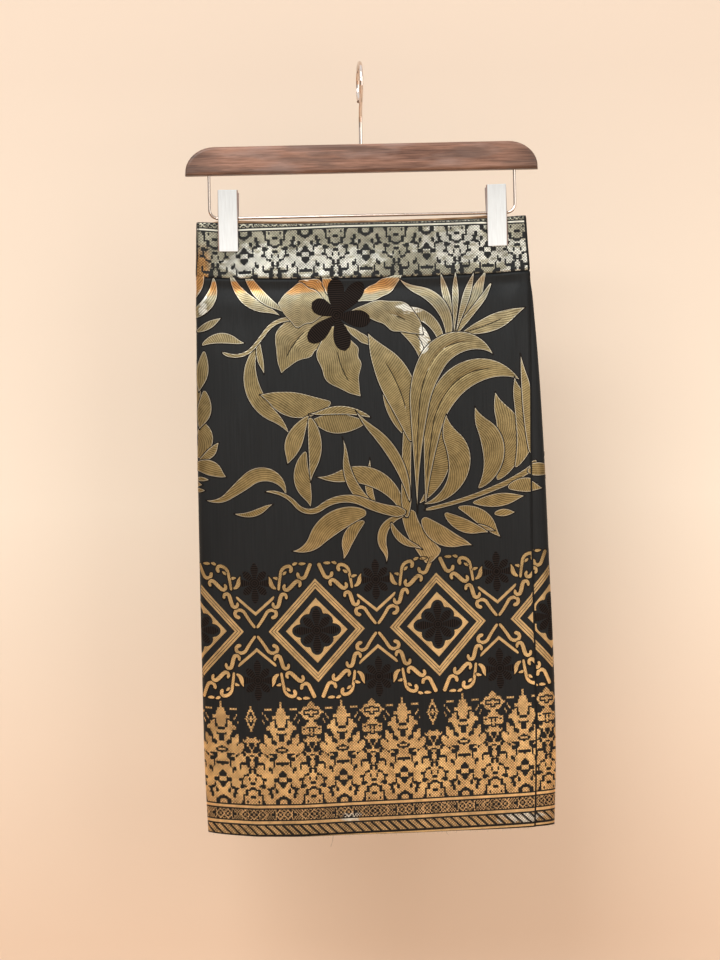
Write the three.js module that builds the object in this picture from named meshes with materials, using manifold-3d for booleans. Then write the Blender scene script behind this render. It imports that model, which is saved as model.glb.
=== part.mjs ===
// A sampin, the short wrapped sarong of a Malay suit, clipped by its waistband to a hanger.
//
// Millimetres, +Z up, +X to the right, the front towards -Y. The origin is the point under
// the hook's crown where it bears on a rail, and everything hangs down from there.
//
// The garment is one long brocade cloth, wound once round and lapped over itself. It folds
// at the left side, at the right side, and ends in a free edge that lies over the right
// fold. So it has a front, a back and an under-lap, each with its own stretch of waistband.
// Clipped to the hanger it is pinched flat at the top and opens into a lens at the hem.
import * as THREE from 'three';
import { mergeVertices } from 'three/addons/utils/BufferGeometryUtils.js';
import Module from 'manifold-3d';

// ---- Driving dimensions ----

const SEAM_GAP = 0.3; // clear air where two pieces are sewn or rest together
const PANEL_WALL = 1.2; // brocade with its lining of floats
const BAND_WALL = 2; // the waistband is the cloth's border, folded double
const LAP_GAP = 0.4; // between the front and the under-lap beneath it
const PANEL_LAP = PANEL_WALL + LAP_GAP; // from the under-lap's middle to the front's middle
const BAND_LAP = PANEL_WALL / 2 + LAP_GAP + BAND_WALL / 2;

const BAND_TOP = 161.7; // depths below the hang point, on the centre line
const BACK_BAND_TOP = 160.2;
const BAND_BOTTOM = 219.1;
const PANEL_TOP = BAND_BOTTOM + SEAM_GAP;
const HEM = 781;

// One row for each section of the wrap, by its depth below the hang point.
// left, right: x of the two side folds.  edge: x of the front's free edge.
// front, back: size of the side folds' curve, which sets how far each half bellies out.
// rise: how far the section's two ends stand above its middle.
const SECTIONS = [
  { depth: 158, left: -168.9, right: 166.2, edge: 165.6, front: 0.8, back: 0.8, rise: 4.4 },
  { depth: 190, left: -169.9, right: 167.6, edge: 167.0, front: 0.9, back: 0.9, rise: 4.7 },
  { depth: 220, left: -170.8, right: 169.6, edge: 168.6, front: 1.3, back: 1.2, rise: 4.8 },
  { depth: 300, left: -172.1, right: 175.6, edge: 168.9, front: 2.5, back: 2.1, rise: 3.2 },
  { depth: 400, left: -173.2, right: 180.0, edge: 167.3, front: 3.7, back: 3.1, rise: 2.2 },
  { depth: 510, left: -173.5, right: 182.8, edge: 166.1, front: 4.8, back: 4.1, rise: 1.6 },
  { depth: 620, left: -173.2, right: 185.4, edge: 166.6, front: 5.6, back: 4.9, rise: 1.3 },
  { depth: 710, left: -172.6, right: 185.4, edge: 165.6, front: 6.2, back: 5.4, rise: 1.2 },
  { depth: 781, left: -170.4, right: 182.6, edge: 162.8, front: 6.6, back: 5.7, rise: 1.2 },
];
const RISE_REACH = 172; // the x at which the ends have their full rise
const RISE_POWER = 2.5;

const BAR = { length: 360, height: 28.9, thickness: 13, top: -81.3, endRun: 30, round: 3 };
const SOCKET = { depth: 12, clearance: 0.3 }; // holes in the bar that take the wires
const HOOK = { wire: 1.9, inner: 19, turn: 50, yaw: 5 }; // radii in mm, angles in degrees
const FRAME_WIRE = { wire: 1.5, halfSpan: 156.2, level: -154, corner: 9 };
const CLIP = {
  x: 137.1, // from the centre line
  splay: 1.1, // degrees, the feet outwards
  width: 20.5,
  plate: 1.4,
  above: 28, // plate above and below the wire
  below: 34.4,
  jaw: 4.6, // from the middle plane to a plate's inner face, at its foot
  spread: 4.5, // degrees that a plate leans away from the middle plane
  corner: 1,
  bevel: 0.4,
  lug: 1,
  lugRound: 3.2,
  bore: 1.9,
  barrel: 2.9,
};
const PINCH = { half: 1, width: 17, full: 192, gone: 300 }; // the clips' press on the cloth

const WIRE_SIDES = 12;
const ROW_CROWDING = 1.2; // rows of points stand closer together towards a stretch's top

// ---- Colours and finishes ----

const finish = (color, roughness, metalness) =>
  new THREE.MeshStandardMaterial({ color, roughness, metalness });
const BROCADE = finish(0x4a4436, 0.5, 0.3);
const BAND_BROCADE = finish(0x8e8b7a, 0.4, 0.5);
const WALNUT = finish(0x8d6048, 0.5, 0);
const CHROME = finish(0xd9d2cc, 0.15, 1);
const SATIN_STEEL = finish(0xeeeeec, 0.35, 0.9);

// ---- The wrap's surface ----

const COLUMNS = ['left', 'right', 'edge', 'front', 'back', 'rise'];
const sectionCurve = new THREE.CubicInterpolant(
  SECTIONS.map((row) => row.depth),
  SECTIONS.flatMap((row) => COLUMNS.map((column) => row[column])),
  COLUMNS.length,
);

// The section at any depth, read off smooth curves through the table's rows.
function sectionAt(depth) {
  const values = sectionCurve.evaluate(depth);
  return Object.fromEntries(COLUMNS.map((column, i) => [column, values[i]]));
}

// How firmly the clips press the cloth flat here, from 0 to 1: a flat-topped bump at each
// clip that fades down the cloth.
function pinchAt(x, depth) {
  const across = Math.exp(-(((Math.abs(x) - CLIP.x) / PINCH.width) ** 4));
  return across * (1 - THREE.MathUtils.smoothstep(depth, PINCH.full, PINCH.gone));
}

// Cloth length across one half of a section, from a side fold to the middle.
const halfLength = (width, fold) => Math.sqrt((width / 2 + fold) ** 2 - fold ** 2);

// A half of the wrap as a surface. Across it, s is the cloth's own length from the left
// fold. Near a fold the section is a catenary on its side, x = sqrt(q^2 + c^2) - c and
// y = c asinh(q / c) for the length q from that fold, less a term that levels the middle.
function wrapPoint(half, s, depth, leftInset) {
  const section = sectionAt(depth);
  const fold = section[half];
  const left = section.left + leftInset;
  const middle = halfLength(section.right - left, fold);
  const q = Math.min(s, 2 * middle - s);
  const run = Math.hypot(q, fold) - fold;
  const x = s <= middle ? left + run : section.right - run;
  const levelling = (fold * q * q) / (2 * middle * Math.hypot(middle, fold));
  const belly = fold * Math.asinh(q / fold) - levelling;
  const pinch = pinchAt(x, depth) * Math.min(q / PINCH.width, 1);
  const reach = THREE.MathUtils.lerp(belly, Math.min(belly, PINCH.half), pinch);
  const lift = section.rise * Math.abs(x / RISE_REACH) ** RISE_POWER;
  return new THREE.Vector3(x, half === 'front' ? -reach : reach, lift - depth);
}

// The same point moved out along the surface's normal.
function wrapLayer(half, s, depth, leftInset, out) {
  const step = 0.05;
  const at = (ds, dd) => wrapPoint(half, s + ds, depth + dd, leftInset);
  const across = at(step, 0).sub(at(-step, 0));
  const down = at(0, step).sub(at(0, -step));
  const normal = down.cross(across).normalize();
  if (half === 'back') normal.negate();
  return at(0, 0).addScaledVector(normal, out);
}

// Columns of points that every layer shares, by x: close together across each clip's
// pinch and wide apart in the middle. Past them a stretch closes up towards its end.
const PINCH_COLUMNS = [-22, -17, -13, -9, 0, 9, 13, 17, 22];
const MIDDLE_COLUMNS = [-80, -40, 0, 40, 80];
const SHARED_COLUMNS = [
  ...PINCH_COLUMNS.map((offset) => offset - CLIP.x),
  ...MIDDLE_COLUMNS,
  ...PINCH_COLUMNS.map((offset) => offset + CLIP.x),
];
const END_COLUMNS = 4;

// Lengths s of a stretch's columns at one depth. An end lies at a side fold, at the free
// edge or at the first shared column, where the under-lap stops inside the wrap.
function columnLengths({ half, leftEnd, rightEnd, inset }, depth) {
  const section = sectionAt(depth);
  const fold = section[half];
  const left = section.left + inset;
  const whole = 2 * halfLength(section.right - left, fold);
  const foldLength = (distance) => Math.sqrt((distance + fold) ** 2 - fold ** 2);
  const centre = (left + section.right) / 2;
  const shared = SHARED_COLUMNS.map((x) =>
    x < centre ? foldLength(x - left) : whole - foldLength(section.right - x));
  const closing = (end, reach) => Array.from({ length: END_COLUMNS }, (_, i) =>
    end + (reach - end) * (i / END_COLUMNS) ** 2);
  const leftward = leftEnd === 'fold' ? closing(SEAM_GAP / 2, shared[0]) : [];
  const end = rightEnd === 'fold' ? SEAM_GAP / 2 : foldLength(section.right - section.edge);
  const rightward = closing(end, whole - shared.at(-1)).map((q) => whole - q).reverse();
  return [...leftward, ...shared, ...rightward];
}

// ---- Making closed meshes ----

function closedMesh(positions, indices) {
  const geometry = new THREE.BufferGeometry();
  geometry.setAttribute('position', new THREE.Float32BufferAttribute(positions, 3));
  geometry.setIndex(indices);
  geometry.computeVertexNormals();
  return geometry;
}

// A wall of cloth: rows run down it and columns across it, and point(column, row, out)
// gives its middle surface moved out. Its two faces are joined round the border.
function wall(point, columns, rows, thickness) {
  const positions = [];
  const indices = [];
  for (const out of [thickness / 2, -thickness / 2]) {
    for (let row = 0; row <= rows; row++) {
      for (let column = 0; column <= columns; column++) {
        positions.push(...point(column, row, out));
      }
    }
  }
  const layer = (columns + 1) * (rows + 1);
  const outer = (column, row) => row * (columns + 1) + column;
  const quad = (a, b, c, d) => indices.push(a, b, c, a, c, d);
  for (let row = 0; row < rows; row++) {
    for (let column = 0; column < columns; column++) {
      const corners = [
        outer(column, row),
        outer(column, row + 1),
        outer(column + 1, row + 1),
        outer(column + 1, row),
      ];
      quad(...corners);
      quad(...corners.reverse().map((corner) => corner + layer));
    }
  }
  const border = [];
  for (let row = 0; row < rows; row++) border.push(outer(0, row));
  for (let column = 0; column < columns; column++) border.push(outer(column, rows));
  for (let row = rows; row > 0; row--) border.push(outer(columns, row));
  for (let column = columns; column > 0; column--) border.push(outer(column, 0));
  border.forEach((from, i) => {
    const to = border[(i + 1) % border.length];
    quad(to, from, from + layer, to + layer);
  });
  return closedMesh(positions, indices);
}

// One stretch of the wrap between two depths, with a lap that lays it over another. The
// back's columns run from right to left, so that its outer face looks backwards.
function stretch(piece) {
  const { half, top, bottom, inset = 0, lap = 0, thickness, rows } = piece;
  const rowDepths = Array.from({ length: rows + 1 }, (_, row) =>
    THREE.MathUtils.lerp(top, bottom, (row / rows) ** ROW_CROWDING));
  const lengths = rowDepths.map((depth) => columnLengths({ ...piece, inset }, depth));
  if (half === 'back') lengths.forEach((row) => row.reverse());
  const point = (column, row, out) =>
    wrapLayer(half, lengths[row][column], rowDepths[row], inset, lap + out);
  return wall(point, lengths[0].length - 1, rows, thickness);
}

// A round wire carried along a path in one plane. Each station is a point, and across is
// the plane's normal.
function wire(stations, radius, across) {
  const positions = [];
  const indices = [];
  const last = stations.length - 1;
  stations.forEach((station, i) => {
    const ahead = stations[Math.min(i + 1, last)];
    const behind = stations[Math.max(i - 1, 0)];
    const side = ahead.clone().sub(behind).cross(across).normalize();
    for (let k = 0; k < WIRE_SIDES; k++) {
      const angle = (2 * Math.PI * k) / WIRE_SIDES;
      const ring = station.clone().addScaledVector(across, radius * Math.cos(angle));
      positions.push(...ring.addScaledVector(side, radius * Math.sin(angle)));
    }
  });
  const at = (ring, k) => ring * WIRE_SIDES + (k % WIRE_SIDES);
  for (let ring = 0; ring < last; ring++) {
    for (let k = 0; k < WIRE_SIDES; k++) {
      indices.push(at(ring, k), at(ring, k + 1), at(ring + 1, k + 1));
      indices.push(at(ring, k), at(ring + 1, k + 1), at(ring + 1, k));
    }
  }
  for (let k = 1; k < WIRE_SIDES - 1; k++) {
    indices.push(at(0, 0), at(0, k + 1), at(0, k));
    indices.push(at(last, 0), at(last, k), at(last, k + 1));
  }
  return closedMesh(positions, indices);
}

// Points of an arc, its centre and angles given in the plane of two unit directions.
function arc(centre, radius, fromDegrees, toDegrees, segments, right, up) {
  return Array.from({ length: segments + 1 }, (_, i) => {
    const angle = THREE.MathUtils.degToRad(fromDegrees + ((toDegrees - fromDegrees) * i) / segments);
    return centre
      .clone()
      .addScaledVector(right, radius * Math.cos(angle))
      .addScaledVector(up, radius * Math.sin(angle));
  });
}

const wasm = await Module();
wasm.setup();

function toSolid(geometry) {
  const bare = geometry.clone();
  bare.deleteAttribute('normal');
  if (bare.attributes.uv) bare.deleteAttribute('uv');
  const merged = mergeVertices(bare, 1e-4);
  const vertProperties = new Float32Array(merged.attributes.position.array);
  const triVerts = new Uint32Array(merged.index.array);
  return new wasm.Manifold(new wasm.Mesh({ numProp: 3, vertProperties, triVerts }));
}

function fromSolid(solid) {
  const { vertProperties, triVerts } = solid.getMesh();
  return closedMesh(Array.from(vertProperties), Array.from(triVerts));
}

// ---- The hanger ----

const X = new THREE.Vector3(1, 0, 0);
const Y = new THREE.Vector3(0, 1, 0);
const Z = new THREE.Vector3(0, 0, 1);
const BAR_BOTTOM = BAR.top - BAR.height;

// A solid bar with a level bottom and quarter-round ends. The outline is drawn smaller by
// the easing of the long edges, which the bevel adds again.
function barGeometry() {
  const endX = BAR.length / 2 - BAR.endRun;
  const run = BAR.endRun - BAR.round;
  const rise = BAR.height - 2 * BAR.round;
  const outline = new THREE.Shape();
  outline.absellipse(endX, BAR.round, run, rise, 0, Math.PI / 2);
  outline.absellipse(-endX, BAR.round, run, rise, Math.PI / 2, Math.PI);
  const geometry = new THREE.ExtrudeGeometry(outline, {
    depth: BAR.thickness - 2 * BAR.round,
    curveSegments: 5,
    bevelThickness: BAR.round,
    bevelSize: BAR.round,
    bevelSegments: 3,
  });
  geometry.translate(0, 0, BAR.round - BAR.thickness / 2);
  geometry.rotateX(Math.PI / 2);
  geometry.translate(0, 0, BAR_BOTTOM);
  let bar = toSolid(geometry);
  const sockets = [
    { x: 0, mouth: BAR.top, wire: HOOK.wire },
    { x: -FRAME_WIRE.halfSpan, mouth: BAR_BOTTOM, wire: FRAME_WIRE.wire },
    { x: FRAME_WIRE.halfSpan, mouth: BAR_BOTTOM, wire: FRAME_WIRE.wire },
  ];
  for (const socket of sockets) {
    const radius = socket.wire + SOCKET.clearance;
    const drill = new THREE.CylinderGeometry(radius, radius, 2 * SOCKET.depth, WIRE_SIDES);
    drill.rotateX(Math.PI / 2);
    drill.translate(socket.x, 0, socket.mouth);
    bar = bar.subtract(toSolid(drill));
  }
  return fromSolid(bar);
}

// The hook stands in a plane across the bar: up the stem, out to the front, over the rail
// and down behind it.
function hookGeometry() {
  const plane = Y.clone().applyAxisAngle(Z, THREE.MathUtils.degToRad(HOOK.yaw));
  const radius = HOOK.inner + HOOK.wire;
  const centre = Z.clone().multiplyScalar(-HOOK.inner);
  const loop = arc(centre, radius, -HOOK.turn, 180 + HOOK.turn, 24, plane, Z);
  const turn = THREE.MathUtils.degToRad(HOOK.turn);
  const sweep = (radius * Math.cos(turn)) / (1 - Math.cos(turn));
  const neck = -HOOK.inner - (radius + sweep) * Math.sin(turn);
  const neckCentre = plane.clone().multiplyScalar(-sweep).addScaledVector(Z, neck);
  const neckArc = arc(neckCentre, sweep, HOOK.turn, 0, 6, plane, Z);
  const foot = BAR.top - SOCKET.depth + SOCKET.clearance;
  const stations = [...loop, ...neckArc.slice(1), Z.clone().multiplyScalar(foot)];
  return wire(stations, HOOK.wire, X.clone().applyAxisAngle(Z, THREE.MathUtils.degToRad(HOOK.yaw)));
}

// The wire that carries the clips: down from the bar, along, and up again.
function clipWireGeometry() {
  const { halfSpan, level, corner } = FRAME_WIRE;
  const head = BAR_BOTTOM + SOCKET.depth - SOCKET.clearance;
  const cornerAt = (x) => new THREE.Vector3(x, 0, level + corner);
  const stations = [
    new THREE.Vector3(-halfSpan, 0, head),
    ...arc(cornerAt(corner - halfSpan), corner, 180, 270, 6, X, Z),
    ...arc(cornerAt(halfSpan - corner), corner, 270, 360, 6, X, Z),
    new THREE.Vector3(halfSpan, 0, head),
  ];
  return wire(stations, FRAME_WIRE.wire, Y);
}

function roundedPlate(width, low, high, corner) {
  const half = width / 2;
  const shape = new THREE.Shape();
  shape.absarc(half - corner, low + corner, corner, -Math.PI / 2, 0);
  shape.absarc(half - corner, high - corner, corner, 0, Math.PI / 2);
  shape.absarc(corner - half, high - corner, corner, Math.PI / 2, Math.PI);
  shape.absarc(corner - half, low + corner, corner, Math.PI, 1.5 * Math.PI);
  return shape;
}

// One jaw plate, drawn upright for the front: the plate leans out from its foot on the
// cloth, and two lugs carry it on the wire. inner is the lugs' distance from the middle.
function jawGeometry(lugFrom) {
  const lean = THREE.MathUtils.degToRad(CLIP.spread);
  const plate = new THREE.ExtrudeGeometry(
    roundedPlate(CLIP.width, 0, CLIP.above + CLIP.below, CLIP.corner),
    {
      depth: CLIP.plate - 2 * CLIP.bevel,
      curveSegments: 1,
      bevelThickness: CLIP.bevel,
      bevelSize: CLIP.bevel,
      bevelOffset: -CLIP.bevel,
      bevelSegments: 1,
    },
  );
  plate.translate(0, 0, CLIP.bevel);
  plate.rotateX(Math.PI / 2 + lean);
  plate.translate(0, -CLIP.jaw, -CLIP.below);
  let jaw = toSolid(plate);
  const behindPlate = CLIP.jaw + Math.tan(lean) * CLIP.below + CLIP.plate / 2;
  for (const side of [-1, 1]) {
    const lug = new THREE.Shape();
    lug.absarc(0, 0, CLIP.lugRound, -Math.PI / 2, Math.PI / 2);
    lug.lineTo(-behindPlate, CLIP.lugRound);
    lug.lineTo(-behindPlate, -CLIP.lugRound);
    const bore = new THREE.Path();
    bore.absarc(0, 0, CLIP.bore, 0, 2 * Math.PI);
    lug.holes.push(bore);
    const tab = new THREE.ExtrudeGeometry(lug, {
      depth: CLIP.lug,
      curveSegments: 5,
      bevelEnabled: false,
    });
    tab.rotateY(Math.PI / 2);
    tab.rotateX(Math.PI / 2);
    tab.translate(side > 0 ? lugFrom : -lugFrom - CLIP.lug, 0, 0);
    jaw = jaw.add(toSolid(tab));
  }
  return fromSolid(jaw);
}

// The spring's barrel, a plain sleeve round the wire.
function barrelGeometry(halfLong) {
  const ring = [
    [CLIP.bore, -halfLong],
    [CLIP.barrel, -halfLong],
    [CLIP.barrel, halfLong],
    [CLIP.bore, halfLong],
    [CLIP.bore, -halfLong],
  ].map(([radius, height]) => new THREE.Vector2(radius, height));
  const sleeve = new THREE.LatheGeometry(ring, WIRE_SIDES);
  sleeve.rotateZ(Math.PI / 2);
  return sleeve;
}

// ---- The object ----

const sampin = new THREE.Group();

function addPiece(parent, name, geometry, material) {
  const mesh = new THREE.Mesh(geometry, material);
  mesh.name = name;
  parent.add(mesh);
  return mesh;
}

const PANEL = { top: PANEL_TOP, bottom: HEM, thickness: PANEL_WALL, rows: 15 };
const BAND = { top: BAND_TOP, bottom: BAND_BOTTOM, thickness: BAND_WALL, rows: 4 };
const FRONT = { half: 'front', leftEnd: 'fold', rightEnd: 'edge' };
const UNDERLAP = { half: 'front', leftEnd: 'inside', rightEnd: 'fold' };
const BACK = { half: 'back', leftEnd: 'fold', rightEnd: 'fold' };

const CLOTH = {
  front_panel: { ...PANEL, ...FRONT, inset: PANEL_LAP, lap: PANEL_LAP },
  under_panel: { ...PANEL, ...UNDERLAP, inset: PANEL_LAP },
  back_panel: { ...PANEL, ...BACK },
  waistband_front: { ...BAND, ...FRONT, inset: BAND_LAP, lap: BAND_LAP },
  waistband_under: { ...BAND, ...UNDERLAP, inset: BAND_LAP, thickness: PANEL_WALL },
  waistband_back: { ...BAND, ...BACK, top: BACK_BAND_TOP },
};
for (const [name, piece] of Object.entries(CLOTH)) {
  const material = name.startsWith('waistband') ? BAND_BROCADE : BROCADE;
  addPiece(sampin, name, stretch(piece), material);
}

addPiece(sampin, 'hanger_bar', barGeometry(), WALNUT);
addPiece(sampin, 'hanger_hook', hookGeometry(), CHROME);
addPiece(sampin, 'clip_wire', clipWireGeometry(), CHROME);

const halfBarrel = 7;
const backLugFrom = halfBarrel + SEAM_GAP;
const frontLugFrom = backLugFrom + CLIP.lug + SEAM_GAP;
for (const [side, sign] of [['left', -1], ['right', 1]]) {
  const clip = new THREE.Group();
  clip.position.set(sign * CLIP.x, 0, FRAME_WIRE.level);
  clip.rotation.y = THREE.MathUtils.degToRad(-sign * CLIP.splay);
  sampin.add(clip);
  addPiece(clip, `clip_${side}_front`, jawGeometry(frontLugFrom), SATIN_STEEL);
  const back = addPiece(clip, `clip_${side}_back`, jawGeometry(backLugFrom), SATIN_STEEL);
  back.rotation.z = Math.PI;
  addPiece(clip, `clip_${side}_spring`, barrelGeometry(halfBarrel), SATIN_STEEL);
}

export default sampin;
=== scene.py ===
"""A brocade sampin hanging from the clips of a wooden bar hanger, dressed on its CAD frame.

Lengths in the tables are millimetres, and every mesh is made in metres. The hang point is
the origin, +Z is up and the front faces -Y.
"""

import functools
import itertools
import json
import math

import bpy
import numpy as np
from mathutils import Matrix, Vector


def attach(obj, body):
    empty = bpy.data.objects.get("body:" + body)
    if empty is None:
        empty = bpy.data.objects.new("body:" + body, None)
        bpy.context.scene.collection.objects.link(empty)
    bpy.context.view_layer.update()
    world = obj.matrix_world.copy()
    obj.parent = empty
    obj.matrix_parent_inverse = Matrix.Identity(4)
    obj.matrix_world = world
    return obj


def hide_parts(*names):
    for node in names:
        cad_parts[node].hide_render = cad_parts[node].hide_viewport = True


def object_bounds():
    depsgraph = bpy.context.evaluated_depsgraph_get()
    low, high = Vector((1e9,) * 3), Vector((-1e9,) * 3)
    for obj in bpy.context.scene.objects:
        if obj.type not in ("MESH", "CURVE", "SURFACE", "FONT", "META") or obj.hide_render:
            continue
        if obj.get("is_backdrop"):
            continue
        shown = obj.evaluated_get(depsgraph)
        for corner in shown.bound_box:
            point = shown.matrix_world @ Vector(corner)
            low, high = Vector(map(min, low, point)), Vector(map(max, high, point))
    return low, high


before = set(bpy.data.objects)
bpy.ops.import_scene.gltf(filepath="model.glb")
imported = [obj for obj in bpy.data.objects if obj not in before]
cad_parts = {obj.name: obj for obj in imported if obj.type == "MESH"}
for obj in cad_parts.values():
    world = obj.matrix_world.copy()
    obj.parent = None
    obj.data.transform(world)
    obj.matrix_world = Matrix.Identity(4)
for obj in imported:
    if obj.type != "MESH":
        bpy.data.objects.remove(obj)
CAD_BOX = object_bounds()

# ---- The wrap's form ----------------------------------------------------------------

HEM = 781.0
BAND_TOP, BACK_BAND_TOP, BAND_BOTTOM = 161.7, 158.6, 219.1
PANEL_TOP = 219.4
PANEL_WALL, BAND_WALL, LAP_GAP = 1.2, 2.0, 0.4
PANEL_LAP = PANEL_WALL + LAP_GAP
BAND_LAP = PANEL_WALL / 2 + LAP_GAP + BAND_WALL / 2
CLIP_X, PINCH_WIDTH, PINCH_FULL, PINCH_GONE = 137.1, 17.0, 192.0, 300.0
RISE_REACH, RISE_POWER = 172.0, 2.5

# depth, left fold, right fold, free edge, front curve, back curve, rise of the ends
SECTIONS = np.array([
    (158, -168.9, 166.2, 165.6, 0.8, 0.8, 4.4),
    (190, -169.9, 167.6, 167.0, 0.9, 0.9, 4.7),
    (220, -170.8, 169.6, 168.6, 1.3, 1.2, 4.8),
    (300, -172.1, 175.6, 168.9, 2.5, 2.1, 3.2),
    (400, -173.2, 180.0, 167.3, 3.7, 3.1, 2.2),
    (510, -173.5, 182.8, 166.1, 4.8, 4.1, 1.6),
    (620, -173.2, 185.4, 166.6, 5.6, 4.9, 1.3),
    (710, -172.6, 185.4, 165.6, 6.2, 5.4, 1.2),
    (781, -170.4, 182.6, 162.8, 6.6, 5.7, 1.2),
])
LEFT, RIGHT, EDGE, FRONT, BACK, RISE = range(1, 7)


def smooth(x, start, end):
    """Smoothstep from 0 at start to 1 at end."""
    t = np.clip((x - start) / (end - start), 0, 1)
    return t * t * (3 - 2 * t)


def section(depth, column):
    """One column of SECTIONS at any depth: a cubic through the rows, whose slope at a row
    is that of the line between the rows on either side of it."""
    keys, values = SECTIONS[:, 0], SECTIONS[:, column]
    ends = np.concatenate(([values[0]], values, [values[-1]]))
    spans = np.concatenate(([keys[0]], keys, [keys[-1]]))
    slopes = (ends[2:] - ends[:-2]) / (spans[2:] - spans[:-2])
    d = np.clip(depth, keys[0], keys[-1])
    i = np.clip(np.searchsorted(keys, d) - 1, 0, len(keys) - 2)
    h = keys[i + 1] - keys[i]
    t = (d - keys[i]) / h
    return (
        (2 * t**3 - 3 * t**2 + 1) * values[i]
        + (t**3 - 2 * t**2 + t) * h * slopes[i]
        + (3 * t**2 - 2 * t**3) * values[i + 1]
        + (t**3 - t**2) * h * slopes[i + 1]
    )


def half_length(width, fold):
    """Cloth across one half of a section, from a side fold to the middle."""
    return np.sqrt((width / 2 + fold) ** 2 - fold**2)


def wrap_point(front, s, depth, inset):
    """A point of the front half (or the back half) of the wrap, at the cloth's length s
    from the left fold. Near a fold at distance q the section is a catenary on its side,
    x = sqrt(q^2 + c^2) - c and y = c asinh(q / c), less a term that levels the middle; the
    clips press it flat, and the two ends of every section stand a little higher."""
    fold = np.where(front, section(depth, FRONT), section(depth, BACK))
    left, right = section(depth, LEFT) + inset, section(depth, RIGHT)
    middle = half_length(right - left, fold)
    q = np.minimum(s, 2 * middle - s)
    run = np.hypot(q, fold) - fold
    x = np.where(s <= middle, left + run, right - run)
    belly = fold * np.arcsinh(q / fold) - fold * q * q / (2 * middle * np.hypot(middle, fold))
    pinch = np.exp(-(((np.abs(x) - CLIP_X) / PINCH_WIDTH) ** 4))
    pinch = pinch * (1 - smooth(depth, PINCH_FULL, PINCH_GONE)) * np.minimum(q / PINCH_WIDTH, 1)
    reach = belly + (np.minimum(belly, 1.0) - belly) * pinch
    lift = section(depth, RISE) * np.abs(x / RISE_REACH) ** RISE_POWER
    return np.stack([x, np.where(front, -reach, reach), lift - depth], axis=-1)


def wrap_layer(front, s, depth, inset, out):
    """The same point moved out along the wrap's outward normal, which is worked out from
    the points a step to either side, above and below."""
    e = 0.05
    across = wrap_point(front, s + e, depth, inset) - wrap_point(front, s - e, depth, inset)
    down = wrap_point(front, s, depth + e, inset) - wrap_point(front, s, depth - e, inset)
    normal = np.cross(down, across)
    normal /= np.linalg.norm(normal, axis=-1, keepdims=True)
    normal = np.where(np.asarray(front)[..., None], normal, -normal)
    return wrap_point(front, s, depth, inset) + normal * np.asarray(out)[..., None]


# ---- The cloth, as one long piece wound round the wrap -------------------------------
#
# A place on the cloth is its p, the length along the cloth, and its depth. On the front p
# is the x of the place. It falls past the left fold, along the back to the right fold,
# and back under the front along the under-lap.

FLORAL = 368.4  # the pattern's repeat along the cloth
LAP_SHIFT = 5.0  # the under-lap's pattern lies this far left of the front's
UNDER_TURN = 2 * FLORAL - LAP_SHIFT  # p on the under-lap is x less this
LEFT_TURN, RIGHT_TURN = -176.0, -546.0  # p at about the left and the right fold


def cloth_ends(depth, inset):
    """p at the left fold and at the right fold, and the back's own length."""
    left, right = section(depth, LEFT), section(depth, RIGHT)
    fold = section(depth, FRONT)
    back = 2 * half_length(right - left, section(depth, BACK))
    return left + inset - fold, right + fold - UNDER_TURN, back


def cloth_point(p, depth, inset, crease, out):
    """The cloth's surface at p and depth, out from its middle. crease(p, x, depth) is its
    own relief, and the front lies over the under-lap by inset."""
    p, depth = np.broadcast_arrays(np.asarray(p, float), np.asarray(depth, float))
    first, last, back = cloth_ends(depth, inset)
    on_front, on_under = p >= first, p < last
    under_width = section(depth, RIGHT) - section(depth, LEFT) - inset
    around = 2 * half_length(under_width, section(depth, FRONT))
    s = np.where(on_front, p - first, (first - p) / (first - last) * back)
    s = np.where(on_under, around - (last - p), s)
    layer = np.where(on_front, inset, 0.0)
    front = on_front | on_under
    inner = np.where(front, inset, 0.0)
    at = wrap_point(front, s, depth, inner)
    return wrap_layer(front, s, depth, inner, layer + out + crease(front, at[..., 0], depth))


def x_of(p):
    """About the x of a place at p: it runs back and forth as the cloth goes round."""
    return np.where(p > LEFT_TURN, p, np.where(p > RIGHT_TURN, 2 * LEFT_TURN - p, p + UNDER_TURN))


# The hem sags a little left of the middle, and the pattern above it climbs to the right.
SAG_X = (-171, -121, -72, -23, 26, 75, 130, 160)
SAG_HEM = (0, -2.7, -2.8, -1.5, -0.8, 0, 0, 0)
SAG_MIDDLE = (1, -1.5, -1.5, -1.1, -0.6, 0.8, 2.3, 2.5)
SAG_MIDDLE_HEIGHT, SAG_TOP = 205, 560  # where the middle row lies and where the sag ends
TILT = 0.0132  # the pattern's slope and its warp's lean


def sag(x, height):
    """How far the cloth hangs above its even place, by x and height above the hem."""
    low, high = np.interp(x, SAG_X, SAG_HEM), np.interp(x, SAG_X, SAG_MIDDLE)
    value = low + (high - low) * smooth(height, 0, SAG_MIDDLE_HEIGHT)
    return value * (1 - smooth(height, SAG_MIDDLE_HEIGHT, SAG_TOP))


def panel_depth(p, height):
    """Depth of a place on the body of the cloth, by its height above the hem."""
    return HEM - height - sag(x_of(p), height)


def gauss(x, middle, width):
    return np.exp(-(((x - middle) / width) ** 2))


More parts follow.
